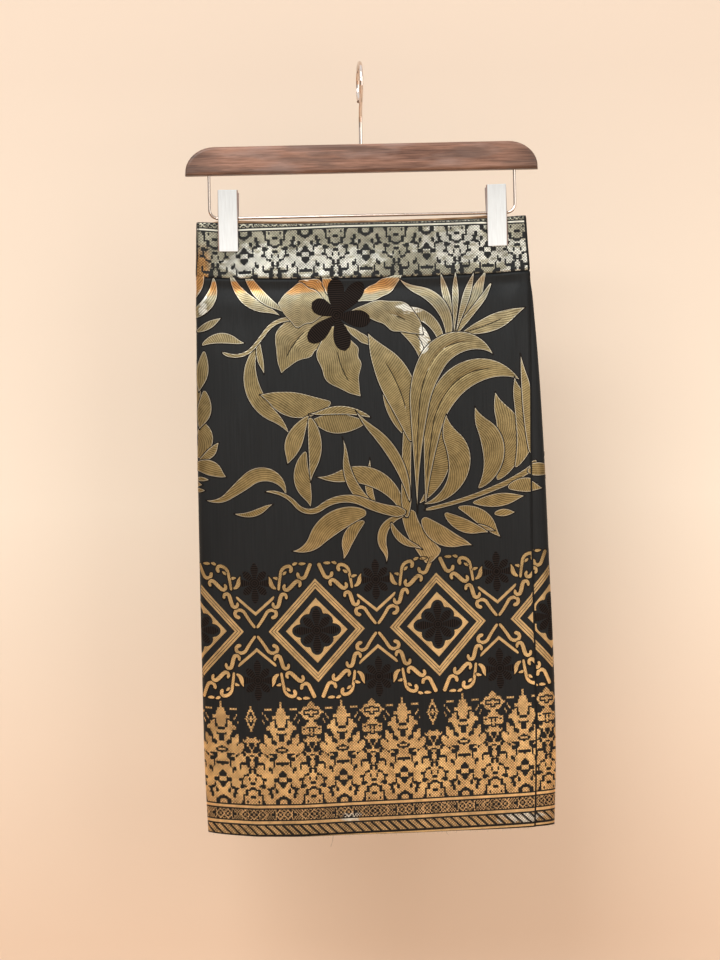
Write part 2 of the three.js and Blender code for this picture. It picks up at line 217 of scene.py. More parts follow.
FOLD_FADE, BAND_FOLD_FADE = (172, 150), (170, 150)  # x over which relief dies away
PANEL_ROLLS = (  # relief, depth of the middle, reach up and down
    (-1.5, 230, 6.5), (0.9, 246, 12), (0.5, PANEL_TOP, 4),
)
PANEL_CREASES = (  # x at the middle, lean, width, depth of the middle, reach, relief
    (-150, 0.02, 13, 250, 60, 1.1), (-121, -0.10, 12, 262, 75, -1.0),
    (-96, -0.22, 18, 290, 90, 0.9), (-40, 0.05, 34, 330, 120, -0.7),
    (18, -0.06, 30, 380, 150, 0.8), (70, 0.08, 30, 420, 160, -0.7),
    (112, 0.16, 16, 280, 80, 0.9), (138, 0.05, 12, 255, 60, -0.9),
    (156, -0.03, 10, 262, 60, 1.0), (-140, 0.06, 26, 520, 150, -0.8),
    (-84, 0.05, 30, 640, 130, 0.9), (-20, -0.04, 34, 660, 120, -0.9),
    (48, 0.05, 32, 640, 130, 0.8), (120, -0.05, 28, 600, 150, -0.9),
)


def panel_crease(front, x, depth):
    """Relief of the body: a roll under the waistband's edge, where the cloth is drawn in
    and springs out again, and long soft ridges and troughs."""
    relief = sum(height * gauss(depth, middle, reach) for height, middle, reach in PANEL_ROLLS)
    for x0, lean, width, middle, reach, height in PANEL_CREASES:
        side = np.where(front, x - x0, x + x0) - lean * (depth - middle)
        relief = relief + height * gauss(depth, middle, reach) * gauss(side, 0, width)
    return relief * (0.25 + 0.75 * smooth(np.abs(x), *FOLD_FADE))


EDGE_ROLL, TOP_ROUND, FOOT_ROUND = 0.9, 2.5, 3.0  # how far the edges turn in, and over what
SWELL, SWELL_RUN, SWELL_DEPTH, SWELL_REACH = 0.35, 21, 203, 12  # height, run, middle, reach
CLIP_REACH = 20.0  # the clips hold the band flat so far to either side


def band_crease(front, x, depth):
    """Relief of the waistband: rolled top and bottom edges and slight swells between the
    clips' bites."""
    top = np.where(front, BAND_TOP, BACK_BAND_TOP)
    relief = -EDGE_ROLL * np.clip(1 - (depth - top) / TOP_ROUND, 0, 1) ** 2
    relief = relief - EDGE_ROLL * np.clip(1 - (BAND_BOTTOM - depth) / FOOT_ROUND, 0, 1) ** 2
    swell = SWELL * np.sin(x / SWELL_RUN + 0.6) * gauss(depth, SWELL_DEPTH, SWELL_REACH)
    free = 1 - np.exp(-(((np.abs(x) - CLIP_X) / CLIP_REACH) ** 4))
    return relief + swell * free * smooth(np.abs(x), *BAND_FOLD_FADE)


# ---- Mesh making ---------------------------------------------------------------------

def new_mesh(name, points, faces, uv=None, smooth_shading=True):
    """A mesh object from points in millimetres and faces of equal length, with a UV for
    each point if uv is given."""
    mesh = bpy.data.meshes.new(name)
    mesh.from_pydata((points * 0.001).tolist(), [], faces.tolist())
    if uv is not None:
        corners = np.empty(len(mesh.loops), dtype=np.int32)
        mesh.loops.foreach_get("vertex_index", corners)
        layer = mesh.uv_layers.new(name="Thread")
        layer.data.foreach_set("uv", uv[corners].astype(np.float32).ravel())
    mesh.polygons.foreach_set("use_smooth", np.full(len(mesh.polygons), smooth_shading))
    mesh.validate()
    mesh.update()
    piece = bpy.data.objects.new(name, mesh)
    bpy.context.scene.collection.objects.link(piece)
    return piece


def grid_faces(rows, columns, start=0, flip=False):
    """Quads of a grid of points that are numbered row by row."""
    r, c = np.meshgrid(np.arange(rows - 1), np.arange(columns - 1), indexing="ij")
    a = (start + r * columns + c).ravel()
    quads = np.stack([a, a + columns, a + columns + 1, a + 1], axis=1)
    return quads[:, ::-1] if flip else quads


def shell(name, lengths, depths, place, wall):
    """A closed cloth wall: the outer and the inner face of one grid over (length, depth),
    joined round the rim. lengths and depths are two-dimensional, place(p, depth, out)
    gives the points, and wall is the thickness at each. The inner face takes the second
    material."""
    rows, columns = lengths.shape
    outer, inner = place(lengths, depths, wall / 2), place(lengths, depths, -wall / 2)
    points = np.concatenate([outer.reshape(-1, 3), inner.reshape(-1, 3)])
    count = rows * columns
    ids = np.arange(count).reshape(rows, columns)
    rim = np.concatenate([ids[0, :], ids[1:, -1], ids[-1, -2::-1], ids[-2:0:-1, 0]])
    after = np.roll(rim, -1)
    sides = np.stack([rim, rim + count, after + count, after], axis=1)
    faces = np.concatenate([
        grid_faces(rows, columns, flip=True), grid_faces(rows, columns, count), sides,
    ])
    uv = np.stack([lengths.ravel(), -depths.ravel()], axis=1)
    piece = new_mesh(name, points, faces, np.concatenate([uv, uv]) * 0.001)
    cells = (rows - 1) * (columns - 1)
    slots = np.zeros(len(faces), dtype=np.int32)
    slots[cells : 2 * cells] = 1
    piece.data.polygons.foreach_set("material_index", slots)
    return piece


# ---- Body and waistband --------------------------------------------------------------

FOLD_STEPS = np.array([0, 0.5, 1, 1.6, 2.4, 3.4, 4.8, 6.6, 9, 12, 16])
UNDER_STOP = -159.0  # x at which the under-lap ends inside the wrap
# the body's rows stand closer above a height, under the waistband
CLOSE_ROWS_ABOVE, CLOSE_ROW, OPEN_ROWS = 515, 2.4, 84
STEP_UP = ((-178, -205), (-548, -520))  # p over which the band's top edge rises past a fold
SINGLE = (-535, -546)  # p over which the band goes from double to single on the under-lap


def stretch(start, end, step, crowd_start=False, crowd_end=False):
    """Places from start to end, about step apart, crowded at an end that is a fold. start
    and end are columns of p, one for each row."""
    sign = -1 if np.all(end < start) else 1
    head = start + sign * FOLD_STEPS if crowd_start else start + 0 * FOLD_STEPS[:1]
    tail = end - sign * FOLD_STEPS[::-1] if crowd_end else end + 0 * FOLD_STEPS[:1]
    a, b = head[:, -1:], tail[:, :1]
    count = int(np.ceil(np.abs(b - a).max() / step))
    middle = a + (b - a) * np.linspace(0, 1, count + 1)[1:-1]
    return np.concatenate([head, middle, tail], axis=1)


def cloth_lengths(depth, inset, step, under_step):
    """A row of p for each depth, from the free edge round to the under-lap's end."""
    depth = depth[:, None]
    first, last, _ = cloth_ends(depth, inset)
    edge = section(depth, EDGE)
    return np.concatenate([
        stretch(edge, first, step, crowd_end=True),
        stretch(first, last, step, True, True)[:, 1:],
        stretch(last, UNDER_STOP - UNDER_TURN + 0 * last, under_step, crowd_start=True)[:, 1:],
    ], axis=1)


def body_place(p, depth, out):
    return cloth_point(p, depth, PANEL_LAP, panel_crease, out)


def band_place(p, depth, out):
    return cloth_point(p, depth, BAND_LAP, band_crease, out)


heights = np.concatenate([
    np.arange(HEM - PANEL_TOP, CLOSE_ROWS_ABOVE, -CLOSE_ROW),
    np.linspace(CLOSE_ROWS_ABOVE, 0, OPEN_ROWS),
])
lengths = cloth_lengths(HEM - heights, PANEL_LAP, 4.0, 6.0)
body = shell(
    "wrapped_cloth", lengths, panel_depth(lengths, heights[:, None]), body_place, PANEL_WALL
)


def band_top(p):
    """Depth of the waistband's top edge: the back's stands above the front's."""
    behind = smooth(p, *STEP_UP[0]) * smooth(p, *STEP_UP[1])
    return BAND_TOP + (BACK_BAND_TOP - BAND_TOP) * behind


# shares of the band's drop at which its rows lie, closer at its two edges
falls = np.concatenate([
    np.linspace(0, 0.06, 5), np.linspace(0.06, 0.93, 26)[1:-1], np.linspace(0.93, 1, 6),
])
lengths = cloth_lengths(BAND_TOP + falls * (BAND_BOTTOM - BAND_TOP), BAND_LAP, 3.0, 6.0)
tops = band_top(lengths)
thick = BAND_WALL + (PANEL_WALL - BAND_WALL) * smooth(lengths, *SINGLE)
waistband = shell(
    "waistband_cloth", lengths, tops + falls[:, None] * (BAND_BOTTOM - tops), band_place, thick
)

# ---- The woven pattern ---------------------------------------------------------------
#
# The brocade's gold lies on the black satin in low relief. A place in the body's pattern
# is (p, r): p along the cloth and r up from the hem. The pattern climbs a little to the
# right, and its warp leans by the same angle.

RELIEF, SUNK = 0.12, -0.15  # a motif's top above the cloth, and its rim below the surface
SHADOW_RELIEF, WEAVE_RELIEF = 0.10, 0.8 * RELIEF  # the dark rosettes, and the borders
RIM, FLAT, LIP = 0.35, 0.8, 0.8  # a strip's sloped rim, its inner rim and a vein's half-width
WIDE = 12.0  # a strip wider than this has more columns, to follow the cloth's curves
MARGIN = 0.9  # black thread round each motif, which parts it from those behind
SELVAGE = 1.8  # plain black along the front's edge
UNDER_SHOWN = -606.0  # p past which the under-lap is hidden beneath the front


def pattern_place(p, r):
    """p, depth of a place in the body's pattern, and where the cloth's edges cut it."""
    p = p - TILT * r
    height = r + TILT * x_of(p)
    cut_height = np.maximum(height, 0.3)
    depth = panel_depth(p, cut_height)
    cut_p = np.clip(p, UNDER_SHOWN, section(depth, EDGE) - SELVAGE)
    return cut_p, depth, (cut_p != p) | (cut_height != height)


def band_line(x):
    """Depth of the waistband's plain gold line, which wanders beside the top edge."""
    return np.interp(x, (-171, -150, -125, -97, -67, -30, 15, 60, 120, 165),
                     (168.9, 169.8, 168.8, 167.6, 166.6, 165.4, 165.2, 165.6, 166.4, 168))


def band_pattern_place(p, below):
    """p, depth of a place in the waistband's pattern, by its distance below that line."""
    depth = band_line(x_of(p)) + below
    cut = np.clip(depth, band_top(p) + 0.8, BAND_BOTTOM - 1.0)
    cut_p = np.clip(p, UNDER_SHOWN, section(cut, EDGE) - SELVAGE)
    return cut_p, cut, (cut_p != p) | (cut != depth)


class Relief:
    """Motifs collected as points (p, r), how far each stands above the cloth, its distance
    from the motif's rim, how much it is on a vein, thread coordinates and quads, and then
    laid on the cloth as one piece."""

    def __init__(self):
        self.points, self.rises, self.rims, self.veins = [], [], [], []
        self.threads, self.faces, self.count = [], [], 0

    def add(self, points, rises, rims, veins, threads, faces):
        self.points.append(points.reshape(-1, 2))
        self.rises.append(rises.ravel())
        self.rims.append(rims.ravel())
        self.veins.append(veins.ravel())
        self.threads.append(threads.reshape(-1, 2))
        self.faces.append(faces + self.count)
        self.count += rises.size

    def lay(self, name, material, shifts, place=pattern_place, surface=body_place,
            wall=PANEL_WALL):
        points, rises = np.concatenate(self.points), np.concatenate(self.rises)
        threads, faces = np.concatenate(self.threads), np.concatenate(self.faces)
        laid, kept = [], []
        for n, shift in enumerate(shifts):
            p, depth, cut = place(points[:, 0] + shift, points[:, 1])
            laid.append(surface(p, depth, wall / 2 + rises))
            kept.append(faces[~cut[faces].all(axis=1)] + n * len(points))
        faces = np.concatenate(kept)
        used, index = np.unique(faces, return_inverse=True)
        copies = len(shifts)
        piece = new_mesh(name, np.concatenate(laid)[used], index.reshape(faces.shape),
                         np.tile(threads, (copies, 1))[used] * 0.001)
        for title, values in (("Rim", self.rims), ("Vein", self.veins)):
            field_of = piece.data.attributes.new(title, "FLOAT", "POINT")
            values = np.tile(np.concatenate(values), copies)[used]
            field_of.data.foreach_set("value", values.astype(np.float32))
        piece.data.materials.append(material)
        return piece


def strip(relief, one, other, thread=0.0, top=RELIEF, vein=0.0, margin=0.0):
    """A raised strip between two edge lines of as many points, with its rims sunk into the
    cloth. thread turns the run of its threads. vein, for each row, is 1 where a dark line
    parts the strip down its middle and 0 where it doesn't. The outer margin is black."""
    width = np.maximum(np.linalg.norm(other - one, axis=1, keepdims=True), 0.05)
    vein = np.broadcast_to(np.reshape(vein, (-1, 1)), width.shape)
    rim, flat = np.minimum(RIM / width, 0.2), np.minimum(FLAT / width, 0.26)
    lip = np.minimum(LIP / width, 0.12)
    between = 3 if width.max() > WIDE else 1
    half = [0 * width, rim, flat]
    half += [flat + (0.5 - lip - flat) * n / between for n in range(1, between + 1)]
    spine = len(half)
    share = np.concatenate([*half, 0 * width + 0.5, *[1 - part for part in half[::-1]]], axis=1)
    points = one[:, None] + (other - one)[:, None] * share[..., None]
    heights = np.full(share.shape, top)
    heights[:, [0, -1]] = SUNK
    heights[:, spine] += 0.5 * (SUNK - top) * vein[:, 0]
    rims, veins = np.minimum(share, 1 - share) * width, 0 * share
    veins[:, spine] = vein[:, 0]
    middle = (one + other) / 2
    along = np.concatenate([[0], np.cumsum(np.linalg.norm(np.diff(middle, axis=0), axis=1))])
    if np.linalg.norm(one[0] - one[-1]) > 0.01:
        rims = np.minimum(rims, np.minimum(along, along[-1] - along)[:, None])
    rims = rims - margin
    u, v = share * width, np.broadcast_to(along[:, None], share.shape)
    c, s = math.cos(thread), math.sin(thread)
    threads = np.stack([c * u + s * v, c * v - s * u], axis=-1)
    run, over = one[1:] - one[:-1], (other - one)[:-1]
    flip = (run[:, 0] * over[:, 1] - run[:, 1] * over[:, 0]).sum() < 0
    relief.add(points, heights, rims, veins, threads, grid_faces(*share.shape, flip=flip))


def walk(start, heading, legs, step=2.4):
    """Points (p, r) of a line from start. It sets off at heading, in degrees from the run of
    the cloth, and bends evenly by so many degrees over each leg of (length, bend). A leg
    has four steps at least, and one for each 15 degrees."""
    spans, bends = [], []
    for length, bend in legs:
        count = max(math.ceil(length / step), math.ceil(abs(bend) / 15), 4)
        spans += [length / count] * count
        bends += [bend / count] * count
    bends = np.array(bends)
    angles = np.radians(heading + np.cumsum(bends) - bends / 2)
    moves = np.stack([np.cos(angles), np.sin(angles)], axis=1) * np.array(spans)[:, None]
    return np.concatenate([[start], start + np.cumsum(moves, axis=0)])


def shares(line):
    """How far along the line each of its points is, from 0 to 1."""
    run = np.concatenate([[0], np.cumsum(np.linalg.norm(np.diff(line, axis=0), axis=1))])
    return run / run[-1]


RUFFLE, RUFFLES = 0.07, 21.0  # how deep the petals' waves are, and their run in radians
VEIN_START, VEIN_END = 0.04, 0.05  # share of a leaf over which its vein begins and ends


def swelling(line, width, fullest=0.45, ruffle=0.0):
    """Half-widths of a leaf, width wide at its fullest share t of the line and pointed most
    at its tip: width / 2 * sin(pi * t ** k) ** (0.7 + 0.5 * t), with k from fullest. ruffle
    waves the edge of a petal."""
    t = np.clip(shares(line), 0, 1)
    power = math.log(0.5) / math.log(fullest)
    half = width / 2 * np.sin(math.pi * t**power) ** (0.7 + 0.5 * t)
    return half * (1 + ruffle * np.sin(RUFFLES * t + 1))


def blunt(line, half_width):
    """Half-widths of a petal that is narrow at its foot and rounded at its tip:
    half_width * sin(pi * t ** 1.7) ** 0.55."""
    return half_width * np.sin(math.pi * np.clip(shares(line), 0, 1) ** 1.7) ** 0.55


def flicked(foot, heading, length, bend):
    """A leaf's middle line, whose last quarter bends back a little."""
    return walk(foot, heading, [(0.75 * length, 1.1 * bend), (0.25 * length, -0.35 * bend)])


def even(line, foot, tip):
    """Half-widths of a stem from foot wide to tip wide, rounded off at its two ends."""
    t = shares(line)
    return (foot + (tip - foot) * t) / 2 * np.clip(np.minimum(t, 1 - t) * 16, 0.05, 1) ** 0.5


def motif(relief, line, half, thread=0.0, top=RELIEF, vein=()):
    """A leaf, petal, stem or scroll about its middle line. It may have a vein between two
    shares of its length."""
    slope = np.gradient(line, axis=0)
    slope /= np.linalg.norm(slope, axis=1, keepdims=True)
    side = np.stack([-slope[:, 1], slope[:, 0]], axis=1) * (half + MARGIN)[:, None]
    parted = 0.0
    if vein:
        start, end = vein
        parted = smooth(shares(line), start - VEIN_START, start + VEIN_START)
        parted = parted * smooth(shares(line), end + VEIN_END, end - VEIN_END)
    strip(relief, line - side, line + side, thread, top, parted, MARGIN)


def straight(points, pieces):
    """A polyline through the points, with each span cut into even pieces."""
    points = np.asarray(points, float)
    t = np.arange(pieces)[:, None] / pieces
    parts = [a + (b - a) * t for a, b in zip(points, points[1:])]
    return np.concatenate(parts + [points[-1:]])


# The field's spray of flower, stems and leaves, drawn upright about the middle of the front
# and then leant a little to the right. Headings and bends are in degrees, left is positive.
SPRAY_MIDDLE, SPRAY_LEAN, SPRAY_DROP = 425.0, -2.0, 8.0
STEMS = [  # foot (p, r), heading, legs of (length, bend), width at the foot and at the tip
    ((76, 284), 135, [(35, -15), (25, -25)], 22, 14),  # trunk
    ((46, 326), 92, [(106, -6), (50, -32), (50, -8), (60, 14)], 11, 6),  # tall stem
    ((46, 332), 176, [(45, -20), (46, 62), (28, -88), (36, 56)], 12, 3),  # tendril to the left
    ((63, 334), 10, [(80, 12), (52, 16)], 4, 7),  # vine to the right
    ((-65, 528), 175, [(15, 20), (22, 40), (20, -5), (18, -40), (18, -40)], 5, 4),  # wisp
]
LEAVES = [  # foot (p, r), heading, length, bend, width, fullest, any vein's start and end
    # about the trunk
    (49, 342, 96, 112, 38, 12, 0.5),
    (42, 332, 103, 108, 84, 19, 0.48),
    (16, 336, 152, 86, -56, 11, 0.35),
    (15, 338, 122, 52, -38, 8, 0.4),
    (44, 328, 178, 62, 108, 10, 0.5),
    (30, 323, 283, 46, 54, 8, 0.45),
    (4, 324, 205, 48, 55, 13, 0.45),
    (50, 403, 92, 122, 30, 34, 0.52, 0.12, 0.7),
    (48, 408, 133, 90, -40, 10, 0.4),
    # the cluster at the fork
    (-30, 444, 198, 76, -36, 26, 0.5),
    (10, 428, 152, 66, 38, 9, 0.5),
    (6, 424, 188, 60, -14, 21, 0.52),
    (-53, 431, 230, 56, 25, 18, 0.55),
    (-53, 429, 292, 68, -32, 14, 0.42),
    (-56, 395, 245, 60, 46, 17, 0.5),
    # the hook, sickle and wisp on the left
    (-130, 330, -12, 44, 42, 7, 0.55),
    (-106, 500, 240, 106, 78, 17, 0.5),
    (-104, 508, 264, 38, 22, 7, 0.5),
    # leaves that rise from the vine
    (62, 340, 6, 114, 106, 23, 0.6),
    (58, 340, 42, 88, 50, 20, 0.58),
    (118, 354, 40, 94, 80, 23, 0.52),
    (137, 362, 48, 98, 66, 26, 0.5),
    (156, 374, 58, 98, 50, 21, 0.5),
    (172, 388, 88, 104, 12, 13, 0.42),
    (196, 430, 78, 84, 22, 12, 0.5),
    # leaves that hang below it
    (62, 327, 300, 62, 45, 19, 0.42),
    (84, 331, 315, 52, 30, 14, 0.45),
    (97, 336, 350, 57, -40, 15, 0.5),
    (110, 319, 342, 28, 0, 5, 0.5),
    (112, 340, 2, 55, 6, 14, 0.5),
    (134, 328, 8, 23, -8, 8, 0.45),
    (148, 354, 18, 44, -30, 15, 0.45),
    (168, 370, 18, 40, -28, 14, 0.45),
    (175, 357, 0, 12, 0, 4, 0.5),
    # arches and blades along the tall stem
    (62, 473, 68, 86, 86, 21, 0.5, 0.1, 0.8),
    (78, 485, 65, 102, 112, 12, 0.55),
    (86, 500, 70, 96, 84, 13, 0.5),
    (93, 512, 96, 66, 8, 8, 0.6),
    (94, 512, 86, 66, 4, 7, 0.6),
    (96, 513, 76, 66, -4, 8, 0.6),
    (99, 516, 62, 68, 6, 12, 0.55),
    (102, 513, 14, 70, 10, 17, 0.5, 0.08, 0.62),
    # at the waist, left of the flower
    (-134, 574, 284, 72, 56, 12, 0.5),
    (-118, 576, 288, 62, 40, 11, 0.45),
    (-152, 568, 284, 62, -72, 12, 0.5),
    # against the left fold
    (-172, 542, 72, 44, 10, 13, 0.5),
    (-168, 512, 28, 30, 4, 8, 0.45),
    (-163, 498, 42, 48, -56, 11, 0.5),
    (-160, 494, 268, 44, -8, 13, 0.5),
    (-160, 454, 280, 42, -26, 15, 0.5),
    (-168, 384, 48, 44, 52, 18, 0.5),
    (-166, 382, 18, 30, 38, 9, 0.5),
    (-174, 374, 22, 40, -52, 16, 0.5),
    (-172, 363, 4, 18, -8, 5, 0.5),
    (-174, 352, -4, 16, 4, 5, 0.5),
]
PETALS = [  # the flower's gold petals, as leaves are listed
    (-29, 532, 198, 84, 62, 46, 0.44, 0.4, 0.78),
    (-25, 522, 262, 80, 54, 43, 0.44, 0.34, 0.74),
    (-15, 534, 17, 86, -66, 30, 0.62, 0.52, 0.72),
    (-20, 524, 322, 44, 8, 9, 0.55),
    (-28, 538, 170, 58, 10, 44, 0.6),
    (-28, 544, 138, 44, 20, 22, 0.5),
    (-27, 546, 108, 34, 10, 12, 0.5),
    (-10, 548, 12, 62, 34, 17, 0.5),
]
HOOKS = [  # leaves that bend back: foot (p, r), heading, legs, width, fullest, any vein
    ((-159, 342), -15, [(25, 55), (28, 0), (52, -130)], 15, 0.58),
    ((6, 332), 179, [(60, 56), (30, -60)], 23, 0.42),
    ((57, 330), 92, [(111, -6), (46, -25), (74, -112)], 28, 0.7, 0.2, 0.86),
    ((65, 334), 88, [(84, -6), (45, -32), (80, -92)], 28, 0.66, 0.15, 0.84),
]
LEAF_THREADS = (0.0, 0.5, -0.5, 1.2)  # turns of the leaves' threads, one after another
STEM_THREADS = 0.3  # and of the stems' and the petals' threads
FLOWER, DARK_HALF = (-25.5, 532.0), 8.0  # the flower's middle, and half a dark petal
DARK_PETALS = [(92, 38), (52, 43), (-8, 35), (-76, 37), (224, 39), (152, 28)]  # heading, reach

# The band of diamonds. Scrolls are one quarter of the figure between two diamonds, from
# its middle, and are mirrored four ways.
DIAMOND_PITCH, DIAMOND_P, DIAMOND_R = FLORAL / 3, -52.6, 207.4
FRAME = ((49, 52.5), (39, 42))  # half-width and half-height, outside and inside
FRAME_LINES = 3
LOZENGE, LOZENGE_WALL = (31.5, 33), 1.6  # half-sizes, and its least gold round the opening
OPENING, LONG_PETAL, SHORT_PETAL = 17.2, 7.3, 2.8  # the opening's radius, and more at petals
ROSETTE, SIDE_ROSETTE, SIDE_ROSETTE_UP = 23.0, 20.5, 49  # radii, and how far up and down
SCROLL_THREADS = 0.6  # turn of the scrolls' threads
ROPES = [  # start (across, up), heading, legs of (length, bend), width at the start and end
    ((0, 3), 50, [(19, 10), (9, -80), (13, -205)], 3.4, 4.5),
    ((24, 40), 84, [(19, -5), (11, -75), (10, -190)], 3.2, 4.4),
    ((58, 69), 247, [(15, -2), (14, -200)], 4.6, 4.0),
]
ESSES = [  # middle (across, up), heading, half the straight part, curl's length, its bend
    (25, 31, 78, 5, 11, -225),
    (38, 46, 48, 5.5, 10.5, -225),
]
ESS_END, ESS_SWELL = 3.1, 1.6  # width at its ends, and more in its middle
THORNS = [  # start (across, up), heading, legs, width at the fullest
    ((23, 43), 175, [(10, -80), (8, 30)], 5.0),
    ((26, 52), 150, [(9, 30)], 3.8),
    ((27, 57), 15, [(8, 35)], 3.8),
    ((38, 66), 35, [(8, -30)], 3.8),
    ((44, 68), -10, [(10, 25)], 3.8),
]
CHEVRON, CHEVRON_WALL = ((-20, 33), (0, 16), (20, 33)), 4.2


def scroll(middle, heading, reach, curl, bend):
    """An S: from its middle it runs straight both ways and curls in at both ends."""
    one, other = (walk(middle, heading + turn, [(reach, -10), (curl, bend)]) for turn in (0, 180))
    return np.concatenate([other[:0:-1], one])


def diamond(half_width, half_height, pieces=16):
    corners = [(half_width, 0), (0, half_height), (-half_width, 0), (0, -half_height)]
    return straight(corners + corners[:1], pieces)


def rosette_edge(angle):
    """Radius of the opening in a lozenge at an angle: four long petals and four short."""
    wave = np.cos(4 * angle)
    long, short = LONG_PETAL * np.abs(wave) ** 0.8, SHORT_PETAL * np.abs(wave) ** 0.6
    return OPENING + np.where(wave > 0, long, short)


def rosette(relief, at, radius):
    """Dark petals round a middle, long and short in turn."""
    for n in range(8):
        reach = radius * (0.8 if n % 2 else 1.0)
        line = walk((0, 0), 45 * n, [(reach, 0)]) + at
        motif(relief, line, swelling(line, 0.3 * radius, 0.68), math.pi / 2, SHADOW_RELIEF)


def lean(line):
    """The spray's lean and its place on the cloth."""
    c, s = math.cos(math.radians(SPRAY_LEAN)), math.sin(math.radians(SPRAY_LEAN))
    p, r = line[:, 0], line[:, 1] - SPRAY_MIDDLE
    return np.stack([c * p - s * r, s * p + c * r + SPRAY_MIDDLE - SPRAY_DROP], axis=1)


LAYERS, LAYER_STEP = 13, 0.025
DARK_TOP = RELIEF + 0.03 * LAYERS  # over every layer


def layer(n):
    """Neighbours lie at different heights, so that one passes cleanly over the next."""
    return RELIEF + LAYER_STEP * (5 * n % LAYERS)


levels = map(layer, itertools.count())
field, dark_field = Relief(), Relief()
for foot, heading, legs, width, tip in STEMS:
    line = lean(walk(foot, heading, legs))
    motif(field, line, even(line, width, tip), STEM_THREADS, next(levels))
turns = itertools.cycle(LEAF_THREADS)
for p, r, heading, length, bend, width, fullest, *vein in LEAVES:
    line = lean(flicked((p, r), heading, length, bend))
    motif(field, line, swelling(line, width, fullest), next(turns), next(levels), vein)
for p, r, heading, length, bend, width, fullest, *vein in PETALS:
    line = lean(walk((p, r), heading, [(length, bend)]))
    half = swelling(line, width, fullest, RUFFLE)
    motif(field, line, half, STEM_THREADS, next(levels), vein)
for foot, heading, legs, width, fullest, *vein in HOOKS:
    line = lean(walk(foot, heading, legs))
    motif(field, line, swelling(line, width, fullest), 0.0, next(levels), vein)
for heading, reach in DARK_PETALS:
    line = lean(walk(FLOWER, heading, [(reach, 0)]))
    motif(dark_field, line, blunt(line, DARK_HALF), math.pi / 2, DARK_TOP)

diamonds, rosettes = Relief(), Relief()
centre = np.array([DIAMOND_P, DIAMOND_R])
outside, inside = (diamond(*size) for size in FRAME)
for n in range(FRAME_LINES):
    near, far = n / FRAME_LINES, (n + 1) / FRAME_LINES
    strip(diamonds, outside + (inside - outside) * near + centre,
          outside + (inside - outside) * far + centre)
edge = diamond(*LOZENGE, pieces=28)
angle = np.arctan2(edge[:, 1], edge[:, 0])
reach = np.minimum(rosette_edge(angle), np.linalg.norm(edge, axis=1) - LOZENGE_WALL)
opening = np.stack([np.cos(angle), np.sin(angle)], axis=1) * reach[:, None]
strip(diamonds, edge + centre, opening + centre)
rosette(rosettes, centre, ROSETTE)
centre = centre + (DIAMOND_PITCH / 2, 0)
for up in (1, -1):
    one = straight(CHEVRON, 8)
    strip(diamonds, one * (1, up) + centre, (one + (0, CHEVRON_WALL)) * (1, up) + centre)
    rosette(rosettes, centre + (0, up * SIDE_ROSETTE_UP), SIDE_ROSETTE)
    for across in (1, -1):
        for start, heading, legs, width, tip in ROPES:
            line = walk(start, heading, legs)
            half = even(line, width, tip)
            motif(diamonds, line * (across, up) + centre, half, SCROLL_THREADS)
        for *middle, heading, reach, curl, bend in ESSES:
            line = scroll(middle, heading, reach, curl, bend)
            half = (ESS_END + ESS_SWELL * np.sin(math.pi * shares(line))) / 2
            motif(diamonds, line * (across, up) + centre, half, SCROLL_THREADS, layer(2))
        for start, heading, legs, width in THORNS:
            line = walk(start, heading, legs)
            motif(diamonds, line * (across, up) + centre, swelling(line, width), SCROLL_THREADS)

# The woven border over half its repeat, from the middle of a spired tree on the left to the
# middle of the pillar between two trees. # is gold and . is black.
TREES = """
#......................#
#.....................##
#....................###
#....................###
#.................######
###....######....#######
###....######....#####..
###.............##.....#
####..........####.#####
####..........####.#####
####........#...##.....#
#######.....#....#####.#
#######....#.....#####..
#######...##......######
####......#...#....#####
####.##.......#.......##
####.####....#........##
####.####....#......####
###..####...........####
###..######........#####
###..#######....########
...#########....####....
...#########....#..###.#
#########.......######.#
#########.......######.#
###.####........########
....####....##...#####.#
..#####....###.........#
..#####....###......##..
..#####.######......####
..#####.######...#.#####
..###...######...#######
####....######....######
####....#####..##...##..
####..######.#####..##..
############.#####..##..
.#################....#.
...###############....#.
###..############......#
###..############......#
....############..#....#
.##############....#####
####......###.###..#####
####....###..####..###..
####...####.#######...##
####......#########...##
#####.....#########....#
######....#########....#
######.############...##
.....#.########.......##
.....#.#######........##
.#####.#######.#####..##
######.#######.#####...#
#######.#..###.#######.#
########...###.######...
########...##########..#
.#######.############..#
..######.############..#
...################..###
...##############....###
...##############.######
###.############.####.##
###....######....####.##
###....######...#####.##
###....########.########
....###########.######..
...###.########.######..
..####.#######....######
..####.#######.....#####
.#####....####...#####..
#####.#......########...
####..###...######....##
####..###..#######..####
####..###..#######..####
########....######..####
########..######....####
.#######..######.#####..
...#####..######.#####..
....############.#######
##....##########.#######
###...#########..##.####
###...#########..##.####
###...########...#######
"""
LACE = """
#.##..##.#.#.##.###.##.#
.####.#.#.#.#.####.#..##
##..###.##.#.###..##.##.
#.##.##...#.###.##.##..#
#.##.##...#.###.##.##..#
##..###.##.#.###..##.##.
.####.#.#.#.#.####.#..##
#.##..##.#.#.##.###.##.#
"""
TREE_HALF, TREE_P, TREE_CELL, TREE_ROW = 24, -30.4, FLORAL / 6 / 48, 1.235
TREE_TOP = 136.4  # r of the trees' tips
BAND_TREE_P, BAND_CELL, BAND_ROW, BAND_TREE_ROWS = 2.8, 61.8 / 48, 1.27, 44
BAND_LACE_ROW, BAND_BLACK_ROW, BAND_LINE_ROW = 1.25, 0.7, 1.15
FIRST_COLUMN, LAST_COLUMN = -456, 160
GOLD_INSET = 0.24  # share of a cell by which gold stops short of black
LOZENGE_ROW, LOZENGE_HALF_CELLS, LOZENGE_HALF_ROWS = 13, 4.6, 11.5
SWAP_CELLS, SWAP_ROWS = 9.5, 28  # what a lozenge and its black ground take of a pillar


